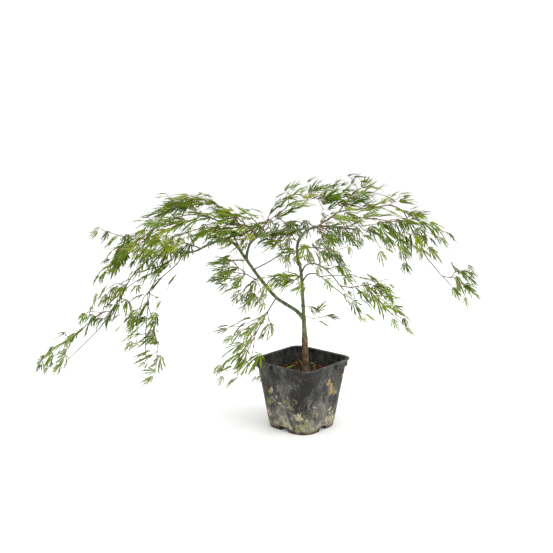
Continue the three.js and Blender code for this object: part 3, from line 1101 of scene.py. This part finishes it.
class Leaf:
    """One leaf: where its blade starts, how it is turned, its size, shape and colour."""

    def __init__(self, base, point, face, size, kind, colour):
        along = point.normalized()
        upper = (face - along * face.dot(along)).normalized()
        turned = Matrix((along.cross(upper), along, upper)).transposed()
        self.base = base
        self.turn = turned.to_euler()
        self.size = size
        self.kind = kind
        self.colour = colour


def any_way(rng, amount):
    return Vector([rng.uniform(-amount, amount) for _ in range(3)])


def kept_in_box(base, point, size):
    """The size of a leaf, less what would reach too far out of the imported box."""
    tip = base + point.normalized() * size
    over = max(max(low - v, v - high) for v, low, high in zip(tip, cad_low, cad_high))
    return max(size - max(over - BOX_SLACK, 0), 0.4 * size)


def leaf_pair(wood, heading, colour, age, rng):
    """The leaves and stalks of one node. age is 0 at a shoot's tip and 1 well behind it."""
    level = heading.cross(UP).normalized()
    spin = Matrix.Rotation(rng.uniform(-PAIR_SPIN, PAIR_SPIN), 3, heading)
    flow = pad_flows[wood.pad]
    for sign in (1, -1):
        if rng.random() < LOST_LEAF:
            continue
        side = spin @ (level * sign)
        reach = rng.uniform(*STALK_LENGTH) * (0.5 + 0.5 * age)
        out = (side * 0.8 + heading * 0.55 + UP * 0.25 + any_way(rng, LOOSE_STALK)).normalized()
        middle = wood.place + out * reach * 0.55
        base = middle + (out + flow * 0.5 - UP * 0.35).normalized() * reach * 0.5
        lift = rng.uniform(0, 0.9) if wood.place.z > HIGH_LEAF else rng.uniform(-0.35, 0.25)
        point = flow * 1.1 + side * 0.4 + UP * lift + any_way(rng, LOOSE_POINT)
        face = UP * 0.9 + side * rng.uniform(0, 0.5) + any_way(rng, LOOSE_FACE)
        size = LEAF_LENGTH * rng.uniform(*LEAF_SIZES) * (TIP_SIZE + (1 - TIP_SIZE) * age)
        size = kept_in_box(base, point, size)
        yield Leaf(base, point, face, size, rng.randrange(LEAF_KINDS), colour), [
            (wood.place, STALK_RADIUS * 1.2),
            (middle, STALK_RADIUS),
            (base + point.normalized() * 1.5 * MM, STALK_RADIUS * 0.9),
        ]


def set_out_leaves():
    rng = random.Random(41)
    leaves = []
    stalks = []
    for chain in shoots:
        colour = rng.choices(list(LEAF_COLOURS), shares_at(chain[-1].place))[0]
        for k, wood in enumerate(chain):
            if not wood.pad:
                continue
            ahead = chain[k + 1].place if k + 1 < len(chain) else wood.place * 2 - wood.parent.place
            heading = (ahead - wood.parent.place).normalized()
            age = min((len(chain) - 1 - k) / FULL_GROWN, 1.0)
            if rng.random() < NEW_COLOUR:
                colour = rng.choices(list(LEAF_COLOURS), shares_at(wood.place))[0]
            for leaf, stalk in leaf_pair(wood, heading, colour, age, rng):
                leaf.pad = wood.pad
                leaves.append(leaf)
                stalks.append(smooth_line(stalk, STALK_STEP))
    return leaves, stalks


leaves, stalks = set_out_leaves()
print("leaves:", len(leaves), {c: sum(leaf.colour == c for leaf in leaves) for c in LEAF_COLOURS})


# %% The leaf tree
def shapes_on(tree, start, points, turn, size, **which):
    """Shapes out of the tree's collection on points, each turned and sized."""
    shapes = add_node(
        tree, "GeometryNodeCollectionInfo", {}, Collection=start.outputs["Shapes"],
        Separate_Children=True, Reset_Children=True,
    )
    rotation = add_node(tree, "FunctionNodeEulerToRotation", {}, Euler=turn)
    stand = add_node(
        tree, "GeometryNodeInstanceOnPoints", {}, Points=points, Instance=shapes.outputs[0],
        Pick_Instance=True, Rotation=rotation.outputs[0],
        Scale=product(tree, size, start.outputs["Size"]), **which,
    )
    return stand.outputs[0]


def make_leaf_tree():
    inputs = {"Shapes": "Collection", "Size": "Float", "Material": "Material"}
    tree, start, end = new_tree("leaves on points", inputs)
    leaves_there = shapes_on(
        tree, start, start.outputs["Geometry"], named(tree, "turn", "FLOAT_VECTOR"), named(tree, "size"),
        Instance_Index=named(tree, "kind", "INT"),
    )
    return end_tree(tree, start, end, leaves_there)


def leaf_points(name, chosen):
    """A mesh of loose points, each with its leaf's turn, size and kind."""
    mesh = new_mesh(name, [leaf.base for leaf in chosen])
    mark(mesh, "turn", [value for leaf in chosen for value in leaf.turn], "FLOAT_VECTOR")
    mark(mesh, "size", [leaf.size for leaf in chosen])
    mark(mesh, "kind", [leaf.kind for leaf in chosen], "INT")
    return mesh


leaf_tree = make_leaf_tree()
leaf_pieces = {}
for colour, paint in LEAF_COLOURS.items():
    chosen = [leaf for leaf in leaves if leaf.colour == colour]
    blade = Finish(f"{colour} leaf", Base_Color=paint, Roughness=0.65, Specular_IOR_Level=0.1)
    leaf_pieces[colour] = run_tree(
        f"{colour}_leaves", leaf_points(colour, chosen), leaf_tree,
        {"Shapes": leaf_shapes, "Size": 1.0, "Material": blade.material},
    )
    print(f"{colour} leaves:", len(leaf_pieces[colour].data.polygons), "faces")

# %% Leaf stalks
stalk_material = mottled_finish(
    "leaf stalk", 0.03, 2, (0.35, rgb(150, 84, 48)), (0.52, rgb(166, 128, 74)), (0.68, rgb(140, 146, 76)),
    Roughness=0.5,
)
stalk_piece = run_tree(
    "leaf_stalks", line_mesh("stalk lines", stalks), twig_tree,
    {"Sides": 5, "Thickness": 1.0, "Material": stalk_material},
)
print("stalks:", len(stalk_piece.data.polygons), "faces")

# %% [markdown]
# ## The pot
#
# A nursery pot is one thin moulding, blown or pressed from soft black plastic. Its walls taper, a collar
# steps out near each corner so that stacked pots don't jam, a flat lip stiffens the rim, and a notch in the
# foot of each side lets water out. It could be cut from boxes with booleans, but those leave long thin
# faces. Here it is one closed skin: a row of places round the pot is repeated at each height, from the
# middle of the underside, up the outside, over the lip and down the inside. A step or a notch is only a row
# where some of the places stand further out or higher.

# %% Rows and columns of the pot
POT_TURN = math.radians(49)
FOOT_SIDE, FOOT_RADIUS = 96.0, 29.0  # millimetres, as all of the pot's own sizes
COLLAR_Z = 107.5
WALL_TOP_SIDE, WALL_TOP_RADIUS = 120.0, 22.0
NOTCH_EDGE = 9.15
COLLAR_EDGE = 17.4
FLAT_COLUMNS = (-17.6, -17.2, -13, -9.3, -9.0, -4.5, 0, 4.5, 9.0, 9.3, 13, 17.2, 17.6)
CORNER_COLUMNS = 11
WARP = 0.5  # how far the thin wall has bent in use
WARP_ROUND, WARP_HEIGHT = 1.7, 40  # how often round the pot, and over what height, the bend changes
WARP_FROM, WARP_FULL = 12, 42  # heights between which it grows

# Each row: height, height in the notches, how far out from the plain wall, and how much further at the
# collar.
UNDERSIDE = ((0, 0, -26, 0), (0, 0, -13.6, 0), (0, 7.5, -13.2, 0), (0, 7.5, -1.5, 0), (0.4, 7.6, -1.1, 0))
FOOT = ((3, 8.0, -0.8, 0), (6.6, 8.6, -0.7, 0), (7.4, 8.9, -0.15, 0), (9, 9.4, 0, 0))
WALL = tuple((z, z, 0, 0) for z in range(16, 107, 10))
COLLAR = ((107.1, 107.1, 0, 0), (107.3, 107.3, 0, 2.2), (107.9, 107.9, 0, 2.5), (112, 112, 0, 2.1))
LIP = tuple((z, z, out, collar) for z, out, collar in (
    (116.8, 0.1, 1.5), (117.4, 2.0, 0), (117.7, 3.2, 0), (118.2, 3.7, 0), (119.3, 3.6, 0), (119.8, 3.2, 0),
    (120.0, 2.6, 0), (119.9, 0.9, 0), (119.5, -0.5, 0), (118.5, -1.4, 0),
))
INSIDE = tuple((z, z, -1.6, collar) for z, collar in (
    (116.8, 1.3), (112, 1.8), (107.7, 2.1), (107.0, 0), (96, 0), (70, 0), (40, 0), (12, 0),
))
BOTTOM = ((4.8, 9.4, -2.4, 0), (4.6, 9.4, -15, 0), (4.6, 4.6, -15.4, 0), (4.6, 4.6, -26, 0))
POT_ROWS = UNDERSIDE + FOOT + WALL + COLLAR + LIP + INSIDE + BOTTOM


def wall_at(z):
    """Side and corner radius of the plain wall at a height."""
    share = z / COLLAR_Z
    side = FOOT_SIDE + (WALL_TOP_SIDE - FOOT_SIDE) * share
    return side, FOOT_RADIUS + (WALL_TOP_RADIUS - FOOT_RADIUS) * share


def pot_place(column, z, out, lift=0.0):
    """A place at height z, out from the plain wall, on one column: a place along a flat or an angle."""
    quarter, flat, angle = column
    side, radius = wall_at(z)
    radius += min(out, 0)
    face = side / 2 + out
    if angle is None:
        x, y = face, flat
    else:
        x = face - radius + radius * math.cos(angle)
        y = face - radius + radius * math.sin(angle)
    turned = Matrix.Rotation(POT_TURN + quarter * math.pi / 2, 3, "Z") @ Vector((x, y, z + lift))
    return turned * MM


angles = [math.pi / 2 * k / (CORNER_COLUMNS - 1) for k in range(CORNER_COLUMNS)]
pot_columns = [
    (quarter, *spot) for quarter in range(4)
    for spot in [(flat, None) for flat in FLAT_COLUMNS] + [(None, angle) for angle in angles]
]
print("pot:", len(pot_columns), "columns,", len(POT_ROWS), "rows")


# %% Make the pot
def skin(name, rows):
    """A closed mesh from rings of equal length, capped at both ends, with its faces turned outwards."""
    mesh = new_mesh(name, [place for row in rows for place in row], ring_faces(len(rows), len(rows[0])))
    shape = bmesh.new()
    shape.from_mesh(mesh)
    bmesh.ops.recalc_face_normals(shape, faces=shape.faces)
    shape.to_mesh(mesh)
    shape.free()
    mesh.shade_smooth()
    return add_object(name, mesh)


def make_pot():
    rows = []
    for z, notch_z, out, collar_out in POT_ROWS:
        row = []
        for column in pot_columns:
            flat = column[1]
            height = notch_z if flat is not None and abs(flat) < NOTCH_EDGE else z
            reach = out + (collar_out if flat is None or abs(flat) > COLLAR_EDGE else 0)
            place = pot_place(column, z, reach, height - z)
            round_pot = Vector((place.x, place.y, 0)).normalized() * WARP_ROUND
            bent = WARP * noise.noise(round_pot + UP * z / WARP_HEIGHT)
            above = min(max(z - WARP_FROM, 0) / (WARP_FULL - WARP_FROM), 1)
            row.append(pot_place(column, z, reach + bent * above, height - z))
        rows.append(row)
    pot = skin("pot_shell", rows)
    inner_row = len(POT_ROWS) - len(INSIDE) - len(BOTTOM) - 1
    inside = [float(k // len(pot_columns) >= inner_row) for k in range(len(pot.data.vertices))]
    mark(pot.data, "inside", inside)
    pot.data.set_sharp_from_angle(angle=math.radians(36))
    return pot


pot_shell = make_pot()
print("pot:", len(pot_shell.data.polygons), "faces")

# %% [markdown]
# A pot that has stood outdoors is never plain black. A grey film of dust and lime lies on it, heavier lower
# down, where rain splashes. Cream crusts, ochre clay and yellow-green algae grow where water has run, thin
# pale lines are left by drying puddles and roots, the corner is rubbed dark, the lip is scuffed pale and
# the foot is brown with soil. A brown band under the collar is dirt, darkened further as painted shade, and
# the inside of the wall is painted darker as painted shade. Each stain that has a place is a ragged spot
# about one point on a face; the back repeats them, turned half round, so that no side looks newer than
# the others.

# %% Stains on the pot
# Each stain: its face, how far along it from the middle, its height and its radius, in millimetres.
CREAM_STAINS = (
    ("left", 22, 70, 4.4), ("left", 13, 63, 2.2), ("left", -17, 64, 2.2), ("left", 32, 28, 4.0),
    ("left", -6, 17, 5.0), ("left", -15, 13, 4.0), ("left", -34, 33, 6.0), ("right", 12, 37, 2.6),
    ("right", 13, 29, 2.4), ("right", 23, 30, 3.0), ("right", 8, 19, 3.8), ("right", 22, 17, 6.0),
    ("right", -25, 22, 2.4), ("right", -36, 24, 3.0), ("left", 4, 50, 2.2),
)
CLAY_STAINS = (
    ("right", 1, 88, 3.2), ("right", 6, 79, 4.6), ("right", 11, 70, 6.2), ("right", 24, 64, 3.8),
    ("right", 38, 92, 3.4), ("left", -43, 27, 3.0), ("right", -22, 35, 3.0),
)
ALGAE_STAINS = (
    ("left", 24, 68, 3.2), ("left", 29, 49, 4.4), ("left", -32, 60, 3.2), ("left", -27, 66, 2.0),
    ("left", -21, 48, 2.8), ("left", 0, 47, 1.6), ("left", -7, 57, 2.6), ("left", -40, 20, 5.5),
    ("left", -34, 13, 5.0), ("right", 13, 66, 3.0), ("right", -30, 40, 2.6), ("left", -41, 30, 4.0),
    ("right", -41, 19, 6.0), ("left", -15, 54, 2.4),
)
SALT_LINES = (
    (("left", 25, 58), ("left", 16, 53), ("left", 6, 51), ("left", -6, 45), ("left", -16, 47),
     ("left", -27, 44)),
    (("right", -38, 54), ("right", -26, 49), ("right", -15, 56), ("right", -4, 63)),
)
FILM = (  # how grey the dusty film is, from thin to thick
    (0.24, rgb(30, 29, 28)), (0.38, rgb(62, 61, 58)), (0.56, rgb(94, 93, 87)), (0.8, rgb(128, 125, 114)),
)


def stain_place(face, along, z):
    half = wall_at(z)[0] / 2
    return (-half, along, z) if face == "left" else (along, -half, z)


def spots_along(line):
    """Small stains strung along a line of places on one face."""
    for (face, along, z), (_, next_along, next_z) in zip(line, line[1:]):
        count = round(math.hypot(next_along - along, next_z - z) / 3)
        for k in range(count):
            yield face, along + (next_along - along) * k / count, z + (next_z - z) * k / count, 1.4


def pot_finish():
    pot = Finish("weathered black plastic", Specular_IOR_Level=0.2)
    x, y, height = (pot.along(axis) for axis in "XYZ")
    cosine, sine = math.cos(POT_TURN), math.sin(POT_TURN)
    across = x * cosine + y * sine
    depth = y * cosine - x * sine
    behind = pot.node("ShaderNodeMath", {"operation": "GREATER_THAN"}, {0: across + depth, 1: 0.0})
    half_turn = 1 - behind * 2.0
    front = pot.node("ShaderNodeCombineXYZ", {}, {0: across * half_turn, 1: depth * half_turn, 2: height})
    wander = pot.node("ShaderNodeTexNoise", {}, {"Vector": front, "Scale": 0.11, "Detail": 4.0}, "Color")
    push = {"operation": "MULTIPLY_ADD"}
    front = pot.node("ShaderNodeVectorMath", push, {0: wander, 1: (22.0,) * 3, 2: front})
    front = pot.node("ShaderNodeVectorMath", {"operation": "SUBTRACT"}, {0: front, 1: (11.0,) * 3})
    ragged = pot.noise(0.42, 5) * 2.2 - 1.1

    def stained(stains):
        nearest = None
        for face, along, z, radius in stains:
            ends = {0: front, 1: stain_place(face, along, z)}
            far = pot.node("ShaderNodeVectorMath", {"operation": "DISTANCE"}, ends, "Value") * (0.8 / radius)
            nearest = far if nearest is None else nearest.math("MINIMUM", nearest, far)
        return (nearest + ragged).between(1.08, 0.9)

    low_down = height.between(88.0, 18.0)
    clouds = pot.noise(0.045, 5)
    streaks = pot.noise(0.16, 4, (1, 1, 0.45))
    mottle = pot.noise(0.34, 4)
    film = clouds * 0.9 + streaks * 0.45 + mottle * 0.7 + pot.noise(0.85, 3) * 0.4 + low_down * 0.16 - 0.87
    corner = (across * half_turn + depth * half_turn).between(-76.0, -92.0)
    film = film - corner * height.between(20.0, 44.0) * 0.14
    lines = pot.cracks(0.034, 16.0).between(0.022, 0.006) * pot.noise(0.05, 2).between(0.48, 0.6)
    veins = pot.cracks(0.11, 6.0).between(0.05, 0.0) * pot.noise(0.06, 3).between(0.5, 0.66)
    crust = (pot.noise(0.11, 5) + height.between(46.0, 4.0) * 0.2).between(0.66, 0.74)
    apart = across.math("MINIMUM", across.math("ABSOLUTE", across), depth.math("ABSOLUTE", depth))
    at_collar = apart.between(COLLAR_EDGE - 0.6, COLLAR_EDGE + 0.6)
    # A brown band under the collar's step: dirt, darkened further as painted shade under the overhang.
    dirt_and_shade_under_collar = (height + mottle * 1.2).between(105.6, 107.4) * height.between(108.0, 107.5) * at_collar
    inside = pot.node("ShaderNodeAttribute", {"attribute_name": "inside"}, {}, "Fac")
    # The inside of the wall: painted shade, dark, with lighter streaks of dust.
    inside_shade_and_dust = pot.ramp(streaks, (0.35, rgb(26, 26, 25)), (0.7, rgb(74, 74, 70)))
    patchy = pot.noise(0.36, 5).between(0.36, 0.54) * 0.8 + 0.2
    salt = stained([spot for line in SALT_LINES for spot in spots_along(line)])
    cream = stained(CREAM_STAINS) * patchy
    clay = stained(CLAY_STAINS)
    algae = stained(ALGAE_STAINS) * patchy
    grit = pot.noise(0.5, 3)
    specks = pot.spots(0.21).between(0.15, 0.07)
    soiled = (height + streaks * 9.0).between(13.5, 5.0)
    scuffed = (height + clouds * 3.0 - 1.5).between(116.4, 118.4) * pot.noise(0.1, 3).between(0.35, 0.7)

    def gritty(dark, light):
        return pot.ramp(grit, (0.35, dark), (0.65, light))

    layers = (  # what lies on the film, from the lowest up: how thickly, and its colour
        (lines * low_down * 0.7, rgb(168, 162, 144)),
        (veins * height.between(70.0, 30.0) * 0.5, rgb(150, 146, 132)),
        (crust * height.between(50.0, 30.0) * 0.7, rgb(158, 150, 122)),
        # Brown dirt under the collar, darkened further as painted shade.
        (dirt_and_shade_under_collar * 0.75, rgb(66, 42, 32)),
        # Painted shade: the inside of the wall is darkened.
        (inside * 0.75, inside_shade_and_dust),
        (salt * 0.6, rgb(164, 158, 140)),
        (cream * 0.85, gritty(rgb(150, 140, 108), rgb(204, 194, 160))),
        (clay * 0.85, gritty(rgb(132, 112, 74), rgb(172, 150, 106))),
        (algae * 0.8, gritty(rgb(112, 108, 48), rgb(156, 152, 82))),
        (specks * 0.45, rgb(150, 132, 104)),
        (soiled * 0.9, rgb(52, 37, 26)),
        (scuffed * 0.4 * (1 - inside), rgb(96, 96, 92)),
    )
    colour = pot.ramp(film, *FILM)
    for share, paint in layers:
        colour = pot.blend(share, colour, paint)
    crusty = cream + clay + algae
    roughness = film * 0.4 + 0.42 + crusty * 0.2
    relief = crusty * 0.8 + pot.noise(0.9, 4) * 0.5 + specks * 0.4
    return pot.finish_with(colour, roughness, relief, 0.35)


pot_shell.data.materials.append(pot_finish())
print("pot finish:", len(pot_shell.data.materials[0].node_tree.nodes), "nodes")

# %% [markdown]
# ## Potting mix
#
# The pot is filled to two fingers below its rim with bark, peat and a few pale splinters. The lumps that
# catch the light are separate crumbs, so a bump map wouldn't do: its outline against the wall would be
# straight. The body of the mix is one closed heap, and a Geometry Nodes tree strews crumbs of three colours
# over its top with a fixed seed. A weed seedling and two blades have come up beside the stem.

# %% The heap
MIX_TOP = 94.2
MIX_SHARES = (0.05, 0.14, 0.26, 0.38, 0.5, 0.62, 0.74, 0.85, 0.93, 1.0)
STEM_FOOT = LIMB_FEET["trunk"]
LUMPS = ((1.6, 60), (0.8, 190))  # height in millimetres, and how many in a metre
STEM_RISE = 2.6  # millimetres
RISE_WIDTH = 17 * MM
WALL_INSIDE = -1.8  # how far in from the plain wall the mix ends


def mix_height(place):
    """How far the top stands above its mean height: lumps, and a rise against the stem."""
    far = (Vector((place.x, place.y, 0)) - Vector((STEM_FOOT.x, STEM_FOOT.y, 0))).length
    lumps = sum(size * noise.noise(place * scale) for size, scale in LUMPS)
    return (lumps + STEM_RISE * math.exp(-((far / RISE_WIDTH) ** 2))) * MM


def mix_top_rows():
    """The top from its middle to the wall."""
    rows = []
    for share in MIX_SHARES:
        row = []
        for column in pot_columns[::2]:
            edge = pot_place(column, MIX_TOP, WALL_INSIDE)
            place = Vector((edge.x * share, edge.y * share, edge.z))
            row.append(place + UP * mix_height(place))
        rows.append(row)
    return rows


mix_rows = mix_top_rows()
mix_walls = [[pot_place(column, z, WALL_INSIDE) for column in pot_columns[::2]] for z in (60, 14)]
mix_body = skin("potting_mix_body", mix_rows + mix_walls)
print("mix:", len(mix_body.data.polygons), "faces")


# %% Crumbs
CRUMB_KINDS = 5
CRUMB_SIZES = (0.45, 1.5)  # smallest and largest, as a share of the usual size
CRUMBS = {  # name: (colour, crumbs in a square metre, size in metres, seed)
    "bark_crumbs": (rgb(108, 68, 46), 30000, 0.0048, 3),
    "peat_crumbs": (rgb(46, 35, 28), 60000, 0.0038, 5),
    "wood_crumbs": (rgb(150, 112, 76), 8000, 0.0044, 8),
}


def make_crumb(kind):
    """A chip of about a dozen faces: the hull of a few scattered points."""
    rng = random.Random(400 + kind)
    shape = bmesh.new()
    for _ in range(9):
        shape.verts.new([rng.uniform(-0.5, 0.5) * side for side in (1.0, 0.62, 0.4)])
    hull = bmesh.ops.convex_hull(shape, input=shape.verts)
    bmesh.ops.delete(shape, geom=list({*hull["geom_unused"], *hull["geom_interior"]}), context="VERTS")
    mesh = bpy.data.meshes.new(f"crumb_{kind}")
    shape.to_mesh(mesh)
    shape.free()
    return bpy.data.objects.new(f"crumb_{kind}", mesh)


def make_crumb_tree():
    inputs = {
        "Shapes": "Collection", "Density": "Float", "Size": "Float", "Seed": "Int", "Material": "Material",
    }
    tree, start, end = new_tree("crumbs on a heap", inputs)
    strew = add_node(
        tree, "GeometryNodeDistributePointsOnFaces", {}, Mesh=start.outputs["Geometry"],
        Density=start.outputs["Density"], Seed=start.outputs["Seed"],
    )
    seed = start.outputs["Seed"]
    spin = add_node(tree, "FunctionNodeRandomValue", {"data_type": "FLOAT_VECTOR"}, Seed=seed)
    spin.inputs["Max"].default_value = (math.tau,) * 3
    vary = add_node(tree, "FunctionNodeRandomValue", {"data_type": "FLOAT"}, Seed=seed)
    vary.inputs[2].default_value, vary.inputs[3].default_value = CRUMB_SIZES
    crumbs = shapes_on(tree, start, strew.outputs["Points"], spin.outputs["Value"], vary.outputs[1])
    return end_tree(tree, start, end, crumbs)


def top_mesh():
    """Only the top of the heap, for crumbs to fall on."""
    faces = ring_faces(len(mix_rows) - 1, len(mix_rows[0]), capped=False)
    return new_mesh("heap top", [place for row in mix_rows for place in row], faces)


def mix_finish():
    mix = Finish("potting mix", Roughness=0.95, Specular_IOR_Level=0.2)
    tone = mix.noise(0.35, 4)
    colour = mix.ramp(tone, (0.35, rgb(24, 18, 14)), (0.52, rgb(44, 31, 23)), (0.68, rgb(80, 54, 37)))
    return mix.finish_with(colour, None, tone + mix.noise(1.2, 3) * 0.5, 1.2)


crumb_shapes = bpy.data.collections.new("crumb shapes")
for kind in range(CRUMB_KINDS):
    crumb_shapes.objects.link(make_crumb(kind))
crumb_tree = make_crumb_tree()
crumb_pieces = {}
for name, (colour, density, size, seed) in CRUMBS.items():
    chip = Finish(name.replace("_", " "), Base_Color=colour, Roughness=0.9, Specular_IOR_Level=0.2)
    crumb_pieces[name] = run_tree(
        name, top_mesh(), crumb_tree,
        {"Shapes": crumb_shapes, "Density": density, "Size": size, "Seed": seed, "Material": chip.material},
    )
    print(f"{name}:", len(crumb_pieces[name].data.polygons), "faces")
mix_body.data.materials.append(mix_finish())


# %% Weed seedlings
BLADES = (  # foot, middle and tip in millimetres, and width
    ((-36, -10, 94), (-26, -9, 104), (-10, -8, 111), 2.6),
    ((3, 12, 94), (-1, 13, 108), (-7, 14, 116), 1.8),
)
SEEDLING_STEM = ((25, 4, 94), (22, 4, 102), (18, 3, 109))
SEEDLING_LEAVES = ((-1, -0.3, 0.35), (1, -0.2, 0.4), (0.1, -1, 0.3))
SEEDLING_LEAF = 4.0


def add_blade(corners, faces, points, width):
    """A narrow folded leaf along a smooth line, widest before its middle and pointed at its tip."""
    line = smooth_line([(Vector(p) * MM, 0.0) for p in points], 2 * MM)
    first = len(corners)
    for k, (place, _) in enumerate(line):
        share = k / (len(line) - 1)
        half = width / 2 * MM * min(1.0, 0.45 + 1.6 * share) * (1 - share**3)
        along = (line[min(k + 1, len(line) - 1)][0] - line[max(k - 1, 0)][0]).normalized()
        side = along.cross(Vector((0, -0.5, 1))).normalized() * max(half, 0.05 * MM)
        corners.extend([place - side + UP * half * 0.4, place, place + side + UP * half * 0.4])
    for k in range(len(line) - 1):
        a = first + 3 * k
        faces.extend([(a, a + 1, a + 4, a + 3), (a + 1, a + 2, a + 5, a + 4)])


def make_seedlings():
    corners, faces = [], []
    for *points, width in BLADES:
        add_blade(corners, faces, points, width)
    add_blade(corners, faces, SEEDLING_STEM, 0.9)
    top = Vector(SEEDLING_STEM[-1])
    for way in SEEDLING_LEAVES:
        out = Vector(way) * SEEDLING_LEAF
        add_blade(corners, faces, (top, top + out * 0.5 + UP * 0.4, top + out), 2.2)
    mesh = new_mesh("seedlings", corners, faces)
    mesh.shade_smooth()
    green = Finish("seedling green", Base_Color=rgb(118, 152, 52), Roughness=0.5, Specular_IOR_Level=0.2)
    mesh.materials.append(green.material)
    return add_object("seedlings", mesh)


seedlings = make_seedlings()
print("seedlings:", len(seedlings.data.polygons), "faces")

# %% Fasten the plant
def fasten(piece, slot, *nodes):
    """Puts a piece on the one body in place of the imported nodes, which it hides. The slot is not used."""
    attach(piece, "root")
    if nodes:
        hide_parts(*nodes)


fasten(bark_pieces["trunk_bark"], "rootstock_bark", "trunk")
fasten(bark_pieces["leader_bark"], "green_bark", "leader", "leader_arch")
fasten(bark_pieces["left_bough_bark"], "green_bark", "left_bough", "left_arch")
fasten(bark_pieces["cross_bough_bark"], "green_bark", "cross_bough")
fasten(twigs, "shoot_bark", *[node for node in LIMB_FEET if node not in BARKED])
fasten(stalk_piece, "shoot_bark")
for colour, piece in leaf_pieces.items():
    slot = "leaf_" + {"lime": "fresh"}.get(colour, colour)
    fasten(piece, slot, *sorted({leaf.pad for leaf in leaves if leaf.colour == colour}))
print("the plant is fastened to the root body")

# %% Fasten the pot
fasten(pot_shell, "pot_plastic", "pot")
for piece in (mix_body, *crumb_pieces.values()):
    fasten(piece, "potting_mix", "potting_mix")
fasten(seedlings, "leaf_fresh")
print("the pot is fastened to the root body")

# %% Sizes
print("box of the packed model:", [round(v, 3) for v in (*cad_low, *cad_high)])
